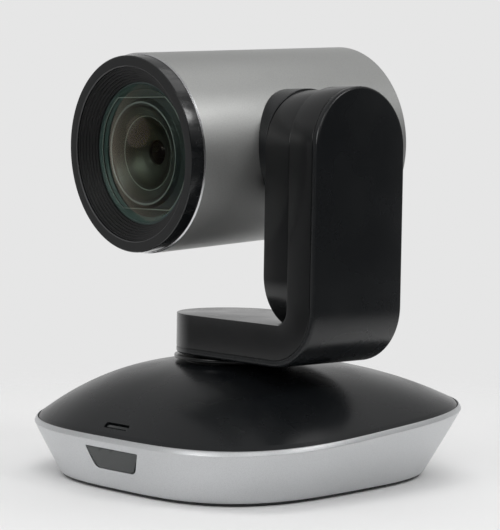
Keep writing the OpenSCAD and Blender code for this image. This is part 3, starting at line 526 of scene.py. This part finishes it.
def cut(obj, cutter):
    """Takes cutter's volume out of obj and removes cutter."""
    change = obj.modifiers.new("cut", "BOOLEAN")
    change.operation = "DIFFERENCE"
    change.solver = "EXACT"
    change.object = cutter
    graph = bpy.context.evaluated_depsgraph_get()
    made = bpy.data.meshes.new_from_object(obj.evaluated_get(graph))
    obj.modifiers.clear()
    obj.data = made
    bpy.data.objects.remove(cutter)
    finish_mesh(obj)


def prism(name, outline, low, high, place):
    """A cutter: an outline in local x and y, run from low to high along local z."""
    rings = [[(x, y, low) for x, y in outline], [(x, y, high) for x, y in outline]]
    return lofted(name, rings, place, [], closed=False, caps=True)


def show(obj, body, slot, *nodes):
    """Rides a piece on its body and hides the CAD nodes it stands for. slot, the name of its finish, is not
    used.
    """
    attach(obj, body)
    if nodes:
        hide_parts(*nodes)


# ---------- Base ----------


def squircle(a, b, n, t):
    """The point at angle t of a rounded rectangle with half axes a and b and squareness n."""
    r = ((abs(math.cos(t)) / a) ** n + (abs(math.sin(t)) / b) ** n) ** (-1 / n)
    return r * math.cos(t), r * math.sin(t)


def angles():
    return [2 * math.pi * i / AROUND for i in range(AROUND)]


def lip_z(y):
    return LIP_HEIGHT + LIP_SLOPE * y


def skirt_ring(k, inset):
    """A ring of the skirt: k is 0 at its foot and 1 at the widest line of the lip."""
    ring = []
    for t in angles():
        low_x, low_y = squircle(FOOT_A - inset, FOOT_B - inset, LIP_SQUARENESS, t)
        high_x, high_y = squircle(LIP_A - inset, LIP_B - inset, LIP_SQUARENESS, t)
        low_y += FOOT_SHIFT
        w = k + SKIRT_BULGE * k * (1 - k)
        z = SKIRT_BOTTOM * (1 - k) + (lip_z(high_y) - LIP_BAND) * k
        ring.append((low_x + (high_x - low_x) * w, low_y + (high_y - low_y) * w, z))
    return ring


def lip_ring(inset, drop):
    """A ring that follows the lip, drawn in by inset and lowered by drop."""
    ring = []
    for t in angles():
        x, y = squircle(LIP_A - inset, LIP_B - inset, LIP_SQUARENESS, t)
        ring.append((x, y, lip_z(y) - drop))
    return ring


def cover_ring(s, drop):
    """A ring of the cover: s is 0 at the crown, on the pan axis, and 1 at the edge."""
    ring = []
    n = 2 + (LIP_SQUARENESS - 2) * s ** 1.12
    for t in angles():
        x, y = squircle((LIP_A - SEAM_INSET) * s, (LIP_B - SEAM_INSET) * s, n, t)
        rise = 1 - s ** COVER_POWER
        z = lip_z(y / s) * (1 - rise) + CROWN * rise - drop
        ring.append((x, y + PAN_Y * (1 - s), z))
    return ring


def window_outline(grow):
    """The IR window seen from the front, a trapezoid with round lower corners."""
    top, low = WINDOW_TOP + grow, WINDOW_LOW - grow
    half_top, half_low = WINDOW_HALF_TOP + grow, WINDOW_HALF_LOW + grow
    corners = [(-half_top, top, WINDOW_TOP_R), (-half_low, low, WINDOW_LOW_R),
               (half_low, low, WINDOW_LOW_R), (half_top, top, WINDOW_TOP_R)]
    return [(x + WINDOW_X, z) for x, z in soften(corners, True, 8)]


def front_prism(name, outline, y_low, y_high):
    """A cutter along y from an outline in x and z."""
    stand = Matrix(((1, 0, 0, 0), (0, 0, 1, 0), (0, 1, 0, 0), (0, 0, 0, 1)))
    return prism(name, outline, y_low, y_high, stand)


def make_skirt():
    """The silver skirt and its lip, cut for the IR window and for the socket panel."""
    rings = [skirt_ring(0, 0.5), skirt_ring(0.012, 0.12), skirt_ring(0.03, 0)]
    rings += [skirt_ring(k / 20, 0) for k in range(2, 20)] + [skirt_ring(0.985, 0.01)]
    rings += [lip_ring(inset, drop) for inset, drop in LIP_PROFILE]
    rings += [skirt_ring(k, SKIRT_WALL) for k in (0.84, 0.56, 0.28, 0)]
    skirt = lofted("skirt", rings, BASE, ["silver_skirt"])
    cut(skirt, front_prism("window_cut", window_outline(WINDOW_GAP), -LIP_B - 5, -LIP_B / 2))
    panel_low, panel_high = span("port_panel", BASE)
    left, right = panel_low.x - RECESS_GAP, panel_high.x + RECESS_GAP
    low, high = panel_low.z - RECESS_GAP, panel_high.z + RECESS_GAP
    recess = soften([(x, z, 0.6) for x, z in ((left, low), (right, low), (right, high), (left, high))])
    cut(skirt, front_prism("recess_cut", recess, panel_low.y, LIP_B + 5))
    show(skirt, "base", "silver_skirt", "base_shell")


def slot_place():
    """The frame of the slot in the front of the cover: x along it, z out of the surface."""
    def point(s):
        y = -(LIP_B - SEAM_INSET)
        rise = 1 - s ** COVER_POWER
        return y * s + PAN_Y * (1 - s), lip_z(y) * (1 - rise) + CROWN * rise
    y, z = point(SLOT_S)
    (y0, z0), (y1, z1) = point(SLOT_S + 0.01), point(SLOT_S - 0.01)
    return Matrix.Translation(Vector((0, y, z)) * MM) @ Matrix.Rotation(math.atan2(z1 - z0, y1 - y0), 4, "X")


def slot_outline(grow):
    """The outline of the slot, larger all round by grow."""
    w, h = SLOT_HALF + grow, SLOT_WIDTH / 2 + grow
    return soften([(x, y, SLOT_CORNER_R) for x, y in ((-w, -h), (w, -h), (w, h), (-w, h))], True, 6)


def make_cover():
    """The black domed top, with a hole for the turntable's neck and a slot for the status light."""
    hole_s = COVER_HOLE_R / (LIP_A - SEAM_INSET)
    hole_z = CROWN - (CROWN - LIP_HEIGHT) * hole_s ** COVER_POWER
    circle = [(COVER_HOLE_R * math.cos(t), COVER_HOLE_R * math.sin(t) + PAN_Y) for t in angles()]
    outside = [lip_ring(SEAM_INSET + inset, drop) for inset, drop in COVER_EDGE]
    first_s, last_s, steps, crowding = 0.988, hole_s + 0.02, 46, 1.15
    for k in range(steps):
        share = (k / (steps - 1)) ** crowding
        outside.append(cover_ring(first_s - (first_s - last_s) * share, 0))
    outside += [[(x, y, hole_z) for x, y in circle], [(x, y, hole_z - 2) for x, y in circle]]
    inside = [cover_ring(s, 2) for s in (0.35, 0.5, 0.65, 0.8, 0.92)] + [lip_ring(SEAM_INSET + 2, 2.2)]
    cover = lofted("cover", outside + inside, BASE, ["black_cover"])
    cut(cover, prism("slot_cut", slot_outline(0), -3, 4, slot_place()))
    show(cover, "base", "black_cover", "base_cover")


def make_status_light():
    """The bar that lies low in the slot, with a shallow step round it."""
    levels = [(0.16, -3), (0.16, -0.95), (0.34, -0.85), (0.5, -0.72), (0.62, -0.5), (0.8, -0.42)]
    rings = [[(x, y, z) for x, y in slot_outline(-inset)] for inset, z in levels]
    light = lofted("status_bar", rings, slot_place(), ["status_lens"], closed=False, caps=True)
    show(light, "base", "smoked_window", "status_light")


def make_turntable():
    """The disc under the foot, on a neck that fills the hole in the cover."""
    bore, stem, neck, spigot, rim = 5, 8, 16.5, 14, disc_high.x
    disc_bottom = DISC_TOP - 1.2
    neck_bottom = disc_bottom - 4.9
    profile = [(bore, disc_low.z), (stem, disc_low.z), (stem, neck_bottom), (neck, neck_bottom),
               (neck, disc_bottom), (rim, disc_bottom, 0.35), (rim, DISC_TOP, 0.35), (spigot, DISC_TOP),
               (spigot, disc_high.z), (bore, disc_high.z)]
    disc = turned("turntable", profile, YOKE, ["charcoal"], axis="Z")
    show(disc, "yoke", "charcoal", "pan_turntable")


# ---------- Yoke ----------


def bend_curve(bottom_z, side_x, radius):
    """Foot, corner and arm as one curve: gives (x, z) for a station (part, value)."""
    def at(part, value):
        if part == "foot":
            return value, bottom_z
        if part == "arm":
            return side_x, value
        if value <= 0:
            return BEND_X, bottom_z
        if value >= 1:
            return side_x, BEND_Z
        angle = QUARTER * value
        centre_x, centre_z = side_x - radius, bottom_z + radius
        return centre_x + radius * math.sin(angle), centre_z - radius * math.cos(angle)
    return at


TIP_STEPS = 40
POD_STEPS = 48


def ribbon_stations(inset):
    """Stations from the tip of the foot to the top of the arm, with the half width at each."""
    half = ARM_HALF - inset
    out = [("foot", -half * c, max(half * s, TINY)) for s, c in quarter_turn(TIP_STEPS)]
    out += [("foot", BEND_X * k / 5, half) for k in range(1, 5)]
    out += [("corner", k / 32, half) for k in range(33)]
    out += [("arm", BEND_Z + (PIVOT_Z - BEND_Z) * k / 6, half) for k in range(1, 6)]
    out += [("arm", PIVOT_Z + half * s, max(half * c, TINY)) for s, c in quarter_turn(TIP_STEPS)]
    return out


def make_slab(name, rings, material):
    """A closed slab on the yoke. The first half of each ring faces the second half."""
    n = len(rings[0])
    points = [p for ring in rings for p in ring]
    faces = [(j * n + i, j * n + (i + 1) % n, (j + 1) * n + (i + 1) % n, (j + 1) * n + i)
             for j in range(len(rings) - 1) for i in range(n)]
    faces += paired_fill(0, n) + paired_fill((len(rings) - 1) * n, n)
    return make_piece(name, points, faces, YOKE, [material])


def make_ribbon(name, outer, inner, levels, material):
    """A bent slab with round ends. levels are (depth, inset): depth 0 is the outer curve and 1 the inner."""
    rings = []
    for depth, inset in levels:
        stations = ribbon_stations(inset)
        ring = []
        for side in (-1, 1):
            for part, value, half in (stations if side < 0 else reversed(stations)):
                ox, oz = outer(part, value)
                ix, iz = inner(part, value)
                ring.append((ox + (ix - ox) * depth, side * half, oz + (iz - oz) * depth))
        rings.append(ring)
    return make_slab(name, rings, material)


def edge_levels(thickness, first, last, groove=(0, 0)):
    """Depths and insets of a slab whose edges are rounded by first and last, with a groove (width, depth)."""
    width, deep = groove
    out = [(0, deep), (width / thickness, deep)] if deep else []
    out += [((width + first * (1 - c)) / thickness, first * (1 - s)) for s, c in quarter_turn(5)]
    out += [(1 - last * (1 - s) / thickness, last * (1 - c)) for s, c in quarter_turn(5)]
    return out


def make_yoke():
    """The frame, with a groove beside the skin, and the skin round its outside."""
    skin_curve = bend_curve(FOOT_BOTTOM, ARM_X, CORNER_R)
    frame_curve = bend_curve(FRAME_BOTTOM, COVER_X, FRAME_CORNER_R)
    top_curve = bend_curve(FOOT_TOP, FRAME_X, INNER_FILLET)
    levels = edge_levels(COVER_X - FRAME_X, 0.2, 0.3, (0.3, 0.25))
    frame_piece = make_ribbon("yoke", frame_curve, top_curve, levels, "charcoal")
    show(frame_piece, "yoke", "charcoal", "yoke_frame")
    levels = edge_levels(ARM_X - COVER_X, 0.9, 0.2)
    skin = make_ribbon("arm_skin", skin_curve, frame_curve, levels, "black_cover")
    show(skin, "yoke", "black_cover", "arm_outer_cover")


def make_pod():
    """The inner cover of the arm: a stadium seen along the tilt axis."""
    depth = FRAME_X - POD_X
    rings = []
    for share, inset in edge_levels(depth, 0.4, 0.2):
        half = ARM_HALF - inset
        x = POD_X + depth * share
        side = [(max(half * s, TINY), POD_LOW_Z - half * c) for s, c in quarter_turn(POD_STEPS)]
        side += [(max(half * c, TINY), POD_TOP_Z + half * s) for s, c in quarter_turn(POD_STEPS)]
        rings.append([(x, -w, z) for w, z in side] + [(x, w, z) for w, z in reversed(side)])
    pod = make_slab("arm_pod", rings, "charcoal")
    show(pod, "yoke", "charcoal", "arm_inner_cover")


# ---------- Camera head ----------


def make_hub():
    """The boss between the barrel and the arm, with its spindle."""
    bore, spindle = 4.5, 7
    root_x, rim_x = 27, 25.4
    profile = [(bore, hub_low.x), (spindle, hub_low.x), (spindle, root_x), (HUB_R, rim_x),
               (HUB_R, HUB_X + 0.12, 0.2), (HUB_R - 0.6, HUB_X + 0.2), (spindle, HUB_X + 0.2),
               (spindle, hub_high.x), (bore, hub_high.x)]
    hub = turned("hub", profile, HEAD, ["black_cover"], axis="X")
    show(hub, "camera_head", "black_cover", "tilt_hub")


def make_barrel():
    """The silver tube, with a bright chamfer at its front edge."""
    chamfer = 0.42
    bore = BARREL_R - BARREL_WALL
    profile = [(bore, BARREL_FRONT), (BARREL_R - chamfer, BARREL_FRONT, 0.06),
               (BARREL_R, BARREL_FRONT + chamfer, 0.12), (BARREL_R, BARREL_BACK, 0.1), (bore, BARREL_BACK)]

    def paint(p):
        return 1 if p.y < BARREL_FRONT + chamfer else 0

    barrel = turned("barrel", profile, HEAD, ["silver_barrel", "bright_edge"], around=384, paint=paint)
    show(barrel, "camera_head", "silver_barrel", "barrel_shell")


def make_ring():
    """Glossy side band with a flat matt face and a thin inner edge painted pale as a painted highlight."""
    edge = 0.32
    back_r = BARREL_R - 0.5
    profile = [(RING_BORE, RING_FRONT + edge, 0.05), (RING_BORE + edge, RING_FRONT, 0.08),
               (RING_R - 0.3, RING_FRONT, 0.12), (RING_R, RING_FRONT + 0.3, 0.2),
               (back_r, BARREL_FRONT - 0.25, 0.1), (back_r - 0.2, BARREL_FRONT), (SPIGOT_R, BARREL_FRONT),
               (SPIGOT_R, RING_BACK),
               (RING_BORE, RING_BACK)]

    finishes = ["gloss_black", "ring_face", "inner_edge_painted_highlight"]

    def paint(p):
        r = math.hypot(p.x, p.z)
        if p.y > RING_FRONT + edge + 0.05 or r >= RING_R - 0.25:
            return finishes.index("gloss_black")
        # The inner chamfer takes the pale painted highlight.
        return finishes.index("inner_edge_painted_highlight" if r < RING_BORE + edge else "ring_face")

    ring = turned("lens_ring", profile, HEAD, finishes, around=384, paint=paint)
    show(ring, "camera_head", "gloss_black", "front_ring")


def make_baffle():
    """Stepped funnel between the ring and the glass."""
    steps = 6
    outer, inner, seat = RING_BORE - 0.04, LENS_R + 0.6, LENS_R + 1.6
    top = outer - 0.4
    first, last = RING_FRONT + 0.75, LENS_EDGE - 0.6
    step_r = (top - inner) / steps
    step_y = (last - first) / steps
    profile = [(outer, first, 0.1)]
    for k in range(steps):
        r = top - k * step_r
        profile += [(r, first + k * step_y, 0.14), (r - 0.12, first + (k + 1) * step_y, 0.12)]
    profile += [(inner, last, 0.05), (inner, LENS_EDGE), (seat, LENS_EDGE + 0.1), (seat, RING_BACK),
                (outer, RING_BACK)]
    baffle = turned("baffle", profile, HEAD, ["matte_black"], around=384)
    show(baffle, "camera_head", "matte_black", "lens_baffle")


def dome(radius, edge_y, bulge, rings):
    """Points (r, y) of a shallow round cap from its middle to its edge. A positive bulge comes forward."""
    ball = (radius ** 2 + bulge ** 2) / (2 * abs(bulge))
    sign = 1 if bulge > 0 else -1
    out = []
    for k in range(rings + 1):
        r = radius * k / rings
        out.append((max(r, 0.001), edge_y - sign * (math.sqrt(ball ** 2 - r ** 2) - (ball - abs(bulge)))))
    return out


def make_glass(name, front, back, material, body, slot, nodes, around):
    """A lens turned from its two faces. It casts no shadow, so light reaches what lies behind it."""
    lens = turned(name, front + back[::-1], HEAD, [material], closed=False, around=around)
    lens.visible_shadow = False
    show(lens, body, slot, *nodes)


def thin_dome(name, radius, edge_y, bulge, thickness, material, slot, *nodes):
    """A fixed, domed lens, drawn as a shell of even thickness."""
    front = dome(radius, edge_y, bulge, 40)
    back = dome(radius, edge_y + thickness, bulge, 40)
    make_glass(name, front, back, material, "camera_head", slot, nodes, 192)


def make_mask():
    """The frame behind the glass, open between two flat edges: a front face painted pale grey as a painted
    sheen for the light and reflection on it, with dark sides.
    """
    reach, opening = LENS_R - 0.9, LENS_R - 1.2
    back_y = MASK_Y + 0.7
    side = math.asin(MASK_HALF / opening)
    count = 48
    outline = []
    for start in (-side, math.pi - side):
        for k in range(count + 1):
            t = start + 2 * side * k / count
            outline.append((opening * math.cos(t), opening * math.sin(t)))
    outer = [(reach * math.cos(math.atan2(z, x)), reach * math.sin(math.atan2(z, x))) for x, z in outline]
    levels = ((outline, MASK_Y), (outline, back_y), (outer, back_y), (outer, MASK_Y))
    rings = [[(x, y, z) for x, z in flat] for flat, y in levels]

    # The front faces take the pale painted sheen; the rest stays dark.
    def paint(p):
        return 0 if p.y < MASK_Y + 0.05 else 1

    mask = lofted("mask", rings, HEAD, ["mask_painted_sheen", "cell_plate"], paint=paint)
    show(mask, "camera_head", "matte_black", "lens_mask")


def make_front_cell():
    """The holder of the lenses behind the front glass: a sloping seat, a flat plate and a stepped cone."""
    outer = LENS_R + 0.5
    seat_y = LENS_EDGE + 0.12
    plate_y = MASK_Y + 1.3
    back_y = PUPIL_Y + 1.4
    profile = [(outer, seat_y), (LENS_R - 0.12, seat_y), (LENS_R - 1.9, plate_y),
               (CELL_R + 1.2, plate_y - 0.3, 0.2), (CELL_R + 0.25, CELL_Y + 0.1, 0.15), (CELL_R, CELL_Y, 0.1),
               (CELL_R - 0.35, CELL_Y + 0.2, 0.1)]
    steps, step_r, step_y = 7, 0.62, 0.3
    for k in range(steps):
        r, y = CELL_R - 0.45 - k * step_r, CELL_Y + 0.55 + k * step_y
        profile += [(r, y), (r - 0.3, y + 0.05)]
    profile += [(INNER_CELL_R + 0.15, INNER_CELL_Y, 0.05), (INNER_CELL_R - 0.1, INNER_CELL_Y + 0.1, 0.05),
                (INNER_CELL_R - 0.5, INNER_CELL_Y + 0.8), (PUPIL_R + 2.4, PUPIL_Y - 0.7, 0.4),
                (PUPIL_R + 0.2, PUPIL_Y, 0.1), (PUPIL_R, PUPIL_Y + 0.1, 0.05), (PUPIL_R, back_y),
                (outer, back_y)]
    finishes = ["cell_plate", "rim_painted_highlight", "cell_cone", "seat_rim_painted_reflection"]

    def paint(p):
        r = math.hypot(p.x, p.z)
        # The thin rims take the pale painted highlight.
        on_rim = CELL_R - 0.36 < r < CELL_R + 0.2 and p.y < CELL_Y + 0.3
        on_inner_rim = INNER_CELL_R - 0.11 < r < INNER_CELL_R + 0.15 and p.y < INNER_CELL_Y + 0.3
        if on_rim or on_inner_rim:
            return finishes.index("rim_painted_highlight")
        # The sloping seat takes the teal painted reflection.
        if r > LENS_R - 1.88 and p.y < plate_y - 0.02:
            return finishes.index("seat_rim_painted_reflection")
        return finishes.index("cell_cone" if r < CELL_R else "cell_plate")

    cell = turned("front_cell", profile, HEAD, finishes, around=256, paint=paint)
    show(cell, "camera_head", "matte_black")


def make_lens_group(name, body, node, rim_r):
    """The glass of a moving group, bulging both ways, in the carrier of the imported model."""
    glass_low, glass_high = span(node, HEAD)
    bulge, radius = 2.0, rim_r - 0.06
    front = dome(radius, glass_low.y + bulge, bulge, 24)
    back = dome(radius, glass_high.y - bulge, -bulge, 24)
    make_glass(name, front, back, "inner_glass", body, "inner_glass", [node], 128)


def make_rear_cover():
    """The dished cap that closes the barrel, with a spigot inside the wall."""
    dish_r, rim_r = BARREL_R - 4.6, BARREL_R - 4
    spigot_bore, spigot_y = BARREL_R - 3.8, BARREL_BACK - 3
    inside_y, dish_y, seam_y = REAR_BACK - 2.2, REAR_BACK - 0.6, BARREL_BACK + 0.05
    profile = [(TINY, inside_y), (spigot_bore, inside_y), (spigot_bore, spigot_y), (SPIGOT_R, spigot_y),
               (SPIGOT_R, seam_y), (BARREL_R - 0.02, seam_y, 0.1), (BARREL_R - 0.9, REAR_BACK, 0.35),
               (rim_r, REAR_BACK, 0.3), (dish_r, dish_y, 0.3), (TINY, dish_y)]
    rear = turned("rear", profile, HEAD, ["black_cover"], closed=False, around=256)
    show(rear, "camera_head", "black_cover", "rear_cover")


make_skirt()
make_cover()
make_status_light()
make_turntable()
make_yoke()
make_pod()
make_hub()
make_barrel()
make_ring()
make_baffle()
thin_dome("front_lens_glass", LENS_R, LENS_EDGE, LENS_BULGE, 0.6, "front_glass", "front_glass", "front_lens")
thin_dome("second_lens_glass", CELL_R - 0.5, CELL_Y + 0.9, 1.7, 0.5, "second_glass", "inner_glass")
thin_dome("third_lens_glass", INNER_CELL_R - 0.7, INNER_CELL_Y + 1.0, 1.5, 0.5, "third_glass", "inner_glass")
thin_dome("pupil_glass", PUPIL_R - 0.1, PUPIL_Y + 0.9, 1.4, 0.4, "pupil_glass", "inner_glass")
make_mask()
make_front_cell()
make_lens_group("zoom_glass", "zoom_group", "zoom_lens", 15.6)
make_lens_group("focus_glass", "focus_group", "focus_lens", 11)
make_rear_cover()

# ---------- CAD nodes that show as they are ----------

KEPT = {
    "bottom_plate": "black_cover", "rubber_feet": "rubber", "tripod_insert": "brass", "base_screws": "steel",
    "port_panel": "matte_black", "usb_port": "steel", "power_jack": "matte_black", "lock_plate": "steel",
    "pairing_button": "charcoal", "button_switch": "matte_black", "main_board": "circuit_board",
    "ir_window": "smoked_window", "ir_receiver": "matte_black", "pan_chassis": "steel", "pan_bush": "brass",
    "pan_motor": "steel", "pan_pinion": "brass", "pan_gear": "gear_acetal", "pan_retainer": "steel",
    "turntable_screws": "steel", "tilt_bush": "brass", "tilt_motor": "steel", "tilt_pinion": "brass",
    "flex_cable": "flex_film", "hub_nut": "steel", "tilt_gear": "gear_acetal", "tilt_retainer": "steel",
    "lens_housing": "matte_black", "guide_rods": "steel", "zoom_carriage": "matte_black",
    "zoom_screw": "steel", "zoom_motor": "steel", "focus_carriage": "matte_black",
    "image_sensor": "sensor_glass", "sensor_board": "circuit_board", "board_standoffs": "steel",
    "video_board": "circuit_board", "heat_sink": "steel",
}
BEVEL_FROM = math.radians(50)
EDGED = {"bottom_plate": 0.2, "rubber_feet": 0.25, "port_panel": 0.12, "usb_port": 0.12, "power_jack": 0.15,
         "lock_plate": 0.1, "pairing_button": 0.3, "tripod_insert": 0.2, "ir_window": 0.12}

for node, material in KEPT.items():
    obj = frame["nodes"][node]
    obj.data.materials.clear()
    obj.data.materials.append(MATERIALS[material])
    if node in EDGED:
        weld = obj.modifiers.new("weld", "WELD")
        weld.merge_threshold = 1e-6
        bevel = obj.modifiers.new("bevel", "BEVEL")
        bevel.width = EDGED[node] * MM
        bevel.segments = 2
        bevel.limit_method = "ANGLE"
        bevel.angle_limit = BEVEL_FROM
        bevel.harden_normals = True

# ---------- Floor, light and tone ----------

FOCUS = Vector((0, 0, 0.08))    # what the lamps face
BACK_SIDE = (-0.70, 0.71, 0)    # the direction away from the camera


def make_floor():
    """A pale floor that fades into the backdrop away from the object."""
    edge = 1.6
    fade_start, fade_end = 0.06, 0.34
    mesh = bpy.data.meshes.new("floor")
    corners = [(-edge, -edge, 0), (edge, -edge, 0), (edge, edge, 0), (-edge, edge, 0)]
    mesh.from_pydata(corners, [], [(0, 1, 2, 3)])
    floor = bpy.data.objects.new("floor", mesh)
    bpy.context.scene.collection.objects.link(floor)
    material = bpy.data.materials.new("floor")
    material.use_nodes = True
    tree = material.node_tree
    shader = tree.nodes["Principled BSDF"]
    shader.inputs["Base Color"].default_value = (0.90, 0.90, 0.90, 1)
    shader.inputs["Roughness"].default_value = 0.9
    shader.inputs["Specular IOR Level"].default_value = 0.1
    place = tree.nodes.new("ShaderNodeTexCoord").outputs["Object"]
    length = tree.nodes.new("ShaderNodeVectorMath")
    length.operation = "LENGTH"
    tree.links.new(place, length.inputs[0])
    fade = tree.nodes.new("ShaderNodeMapRange")
    fade.interpolation_type = "SMOOTHSTEP"
    for key, value in (("From Min", fade_start), ("From Max", fade_end), ("To Min", 1), ("To Max", 0)):
        fade.inputs[key].default_value = value
    tree.links.new(length.outputs["Value"], fade.inputs["Value"])
    tree.links.new(fade.outputs["Result"], shader.inputs["Alpha"])
    mesh.materials.append(material)
    return floor


def area_light(name, place, size, power):
    """A white, oval softbox that faces the object."""
    data = bpy.data.lights.new(name, "AREA")
    data.shape = "ELLIPSE"
    data.size, data.size_y = size
    data.energy = power
    light = bpy.data.objects.new(name, data)
    bpy.context.scene.collection.objects.link(light)
    light.location = place
    light.rotation_mode = "QUATERNION"
    light.rotation_quaternion = (FOCUS - light.location).to_track_quat("-Z", "Y")
    return light


def make_world(backdrop, below, level, above, behind):
    """The camera sees an even pale backdrop.

    The object is lit by three bands of height and by a bright side behind it, all dimmer than that backdrop.
    """
    world = bpy.data.worlds.new("studio")
    bpy.context.scene.world = world
    world.use_nodes = True
    tree = world.node_tree
    tree.nodes.clear()

    def add(kind, **inputs):
        node = tree.nodes.new(kind)
        for key, value in inputs.items():
            socket = node.inputs[key.replace("_", " ")]
            if isinstance(value, bpy.types.NodeSocket):
                tree.links.new(value, socket)
            else:
                socket.default_value = value
        return node

    direction = add("ShaderNodeTexCoord").outputs["Generated"]
    height = add("ShaderNodeSeparateXYZ", Vector=direction).outputs["Z"]
    share = add("ShaderNodeMapRange", Value=height, From_Min=-1.0).outputs["Result"]
    ramp = add("ShaderNodeValToRGB", Fac=share)
    stops = ramp.color_ramp.elements    # 0 is straight down, 0.5 level and 1 straight up
    stops[0].position, stops[1].position = 0.45, 0.55
    stops.new(0.75)
    for stop, light in zip(stops, (below, level, above)):
        stop.color = (light, light, light, 1)
    facing = tree.nodes.new("ShaderNodeVectorMath")
    facing.operation = "DOT_PRODUCT"
    tree.links.new(direction, facing.inputs[0])
    facing.inputs[1].default_value = BACK_SIDE
    # The bright side fills the directions behind the object and fades towards the top
    turned_away = facing.outputs["Value"]
    side = add("ShaderNodeMapRange", Value=turned_away, From_Min=0.1, From_Max=0.7).outputs["Result"]
    low = add("ShaderNodeMapRange", Value=height, From_Min=0.55, From_Max=0.1).outputs["Result"]
    both = tree.nodes.new("ShaderNodeMath")
    both.operation = "MULTIPLY"
    tree.links.new(side, both.inputs[0])
    tree.links.new(low, both.inputs[1])
    lit = add("ShaderNodeBackground", Color=ramp.outputs["Color"])
    back = add("ShaderNodeBackground", Color=(behind, behind, behind, 1), Strength=both.outputs[0])
    studio = tree.nodes.new("ShaderNodeAddShader")
    tree.links.new(lit.outputs[0], studio.inputs[0])
    tree.links.new(back.outputs[0], studio.inputs[1])
    seen = add("ShaderNodeBackground", Color=(backdrop, backdrop, backdrop, 1))
    path = tree.nodes.new("ShaderNodeLightPath")
    mix = add("ShaderNodeMixShader", Fac=path.outputs["Is Camera Ray"])
    tree.links.new(studio.outputs[0], mix.inputs[1])
    tree.links.new(seen.outputs[0], mix.inputs[2])
    add("ShaderNodeOutputWorld", Surface=mix.outputs[0])


# Place and size in metres, and power in watts
SOFTBOXES = {
    "front": ((-0.1, -1.25, 0.55), (0.6, 0.5), 3.6),
    "near": ((0.75, -0.75, 0.95), (0.7, 0.5), 1.8),
    "right": ((1.25, 0.0, 0.6), (0.6, 0.6), 0.4),
    "right_high": ((0.95, 0.35, 0.95), (0.5, 0.4), 3.1),
    "back_top": ((0.05, 0.5, 1.1), (0.7, 0.3), 0.4),
    "low_left": ((-1.0, -0.85, 0.2), (0.5, 0.3), 0.2),
}
BACKDROP, BELOW, LEVEL, ABOVE, BEHIND = 0.791, 0.08, 0.01, 0.40, 0.75

floor = make_floor()
make_world(BACKDROP, BELOW, LEVEL, ABOVE, BEHIND)
for name, (place, size, power) in SOFTBOXES.items():
    area_light(name, place, size, power)

# A lamp for the floor only, which keeps it as pale as the backdrop
wash = area_light("floor_wash", (0, 0, 1.4), (1.4, 1.4), 8)
washed = bpy.data.collections.new("washed")
washed.objects.link(floor)
wash.light_linking.receiver_collection = washed
bpy.context.scene.view_settings.view_transform = "Standard"
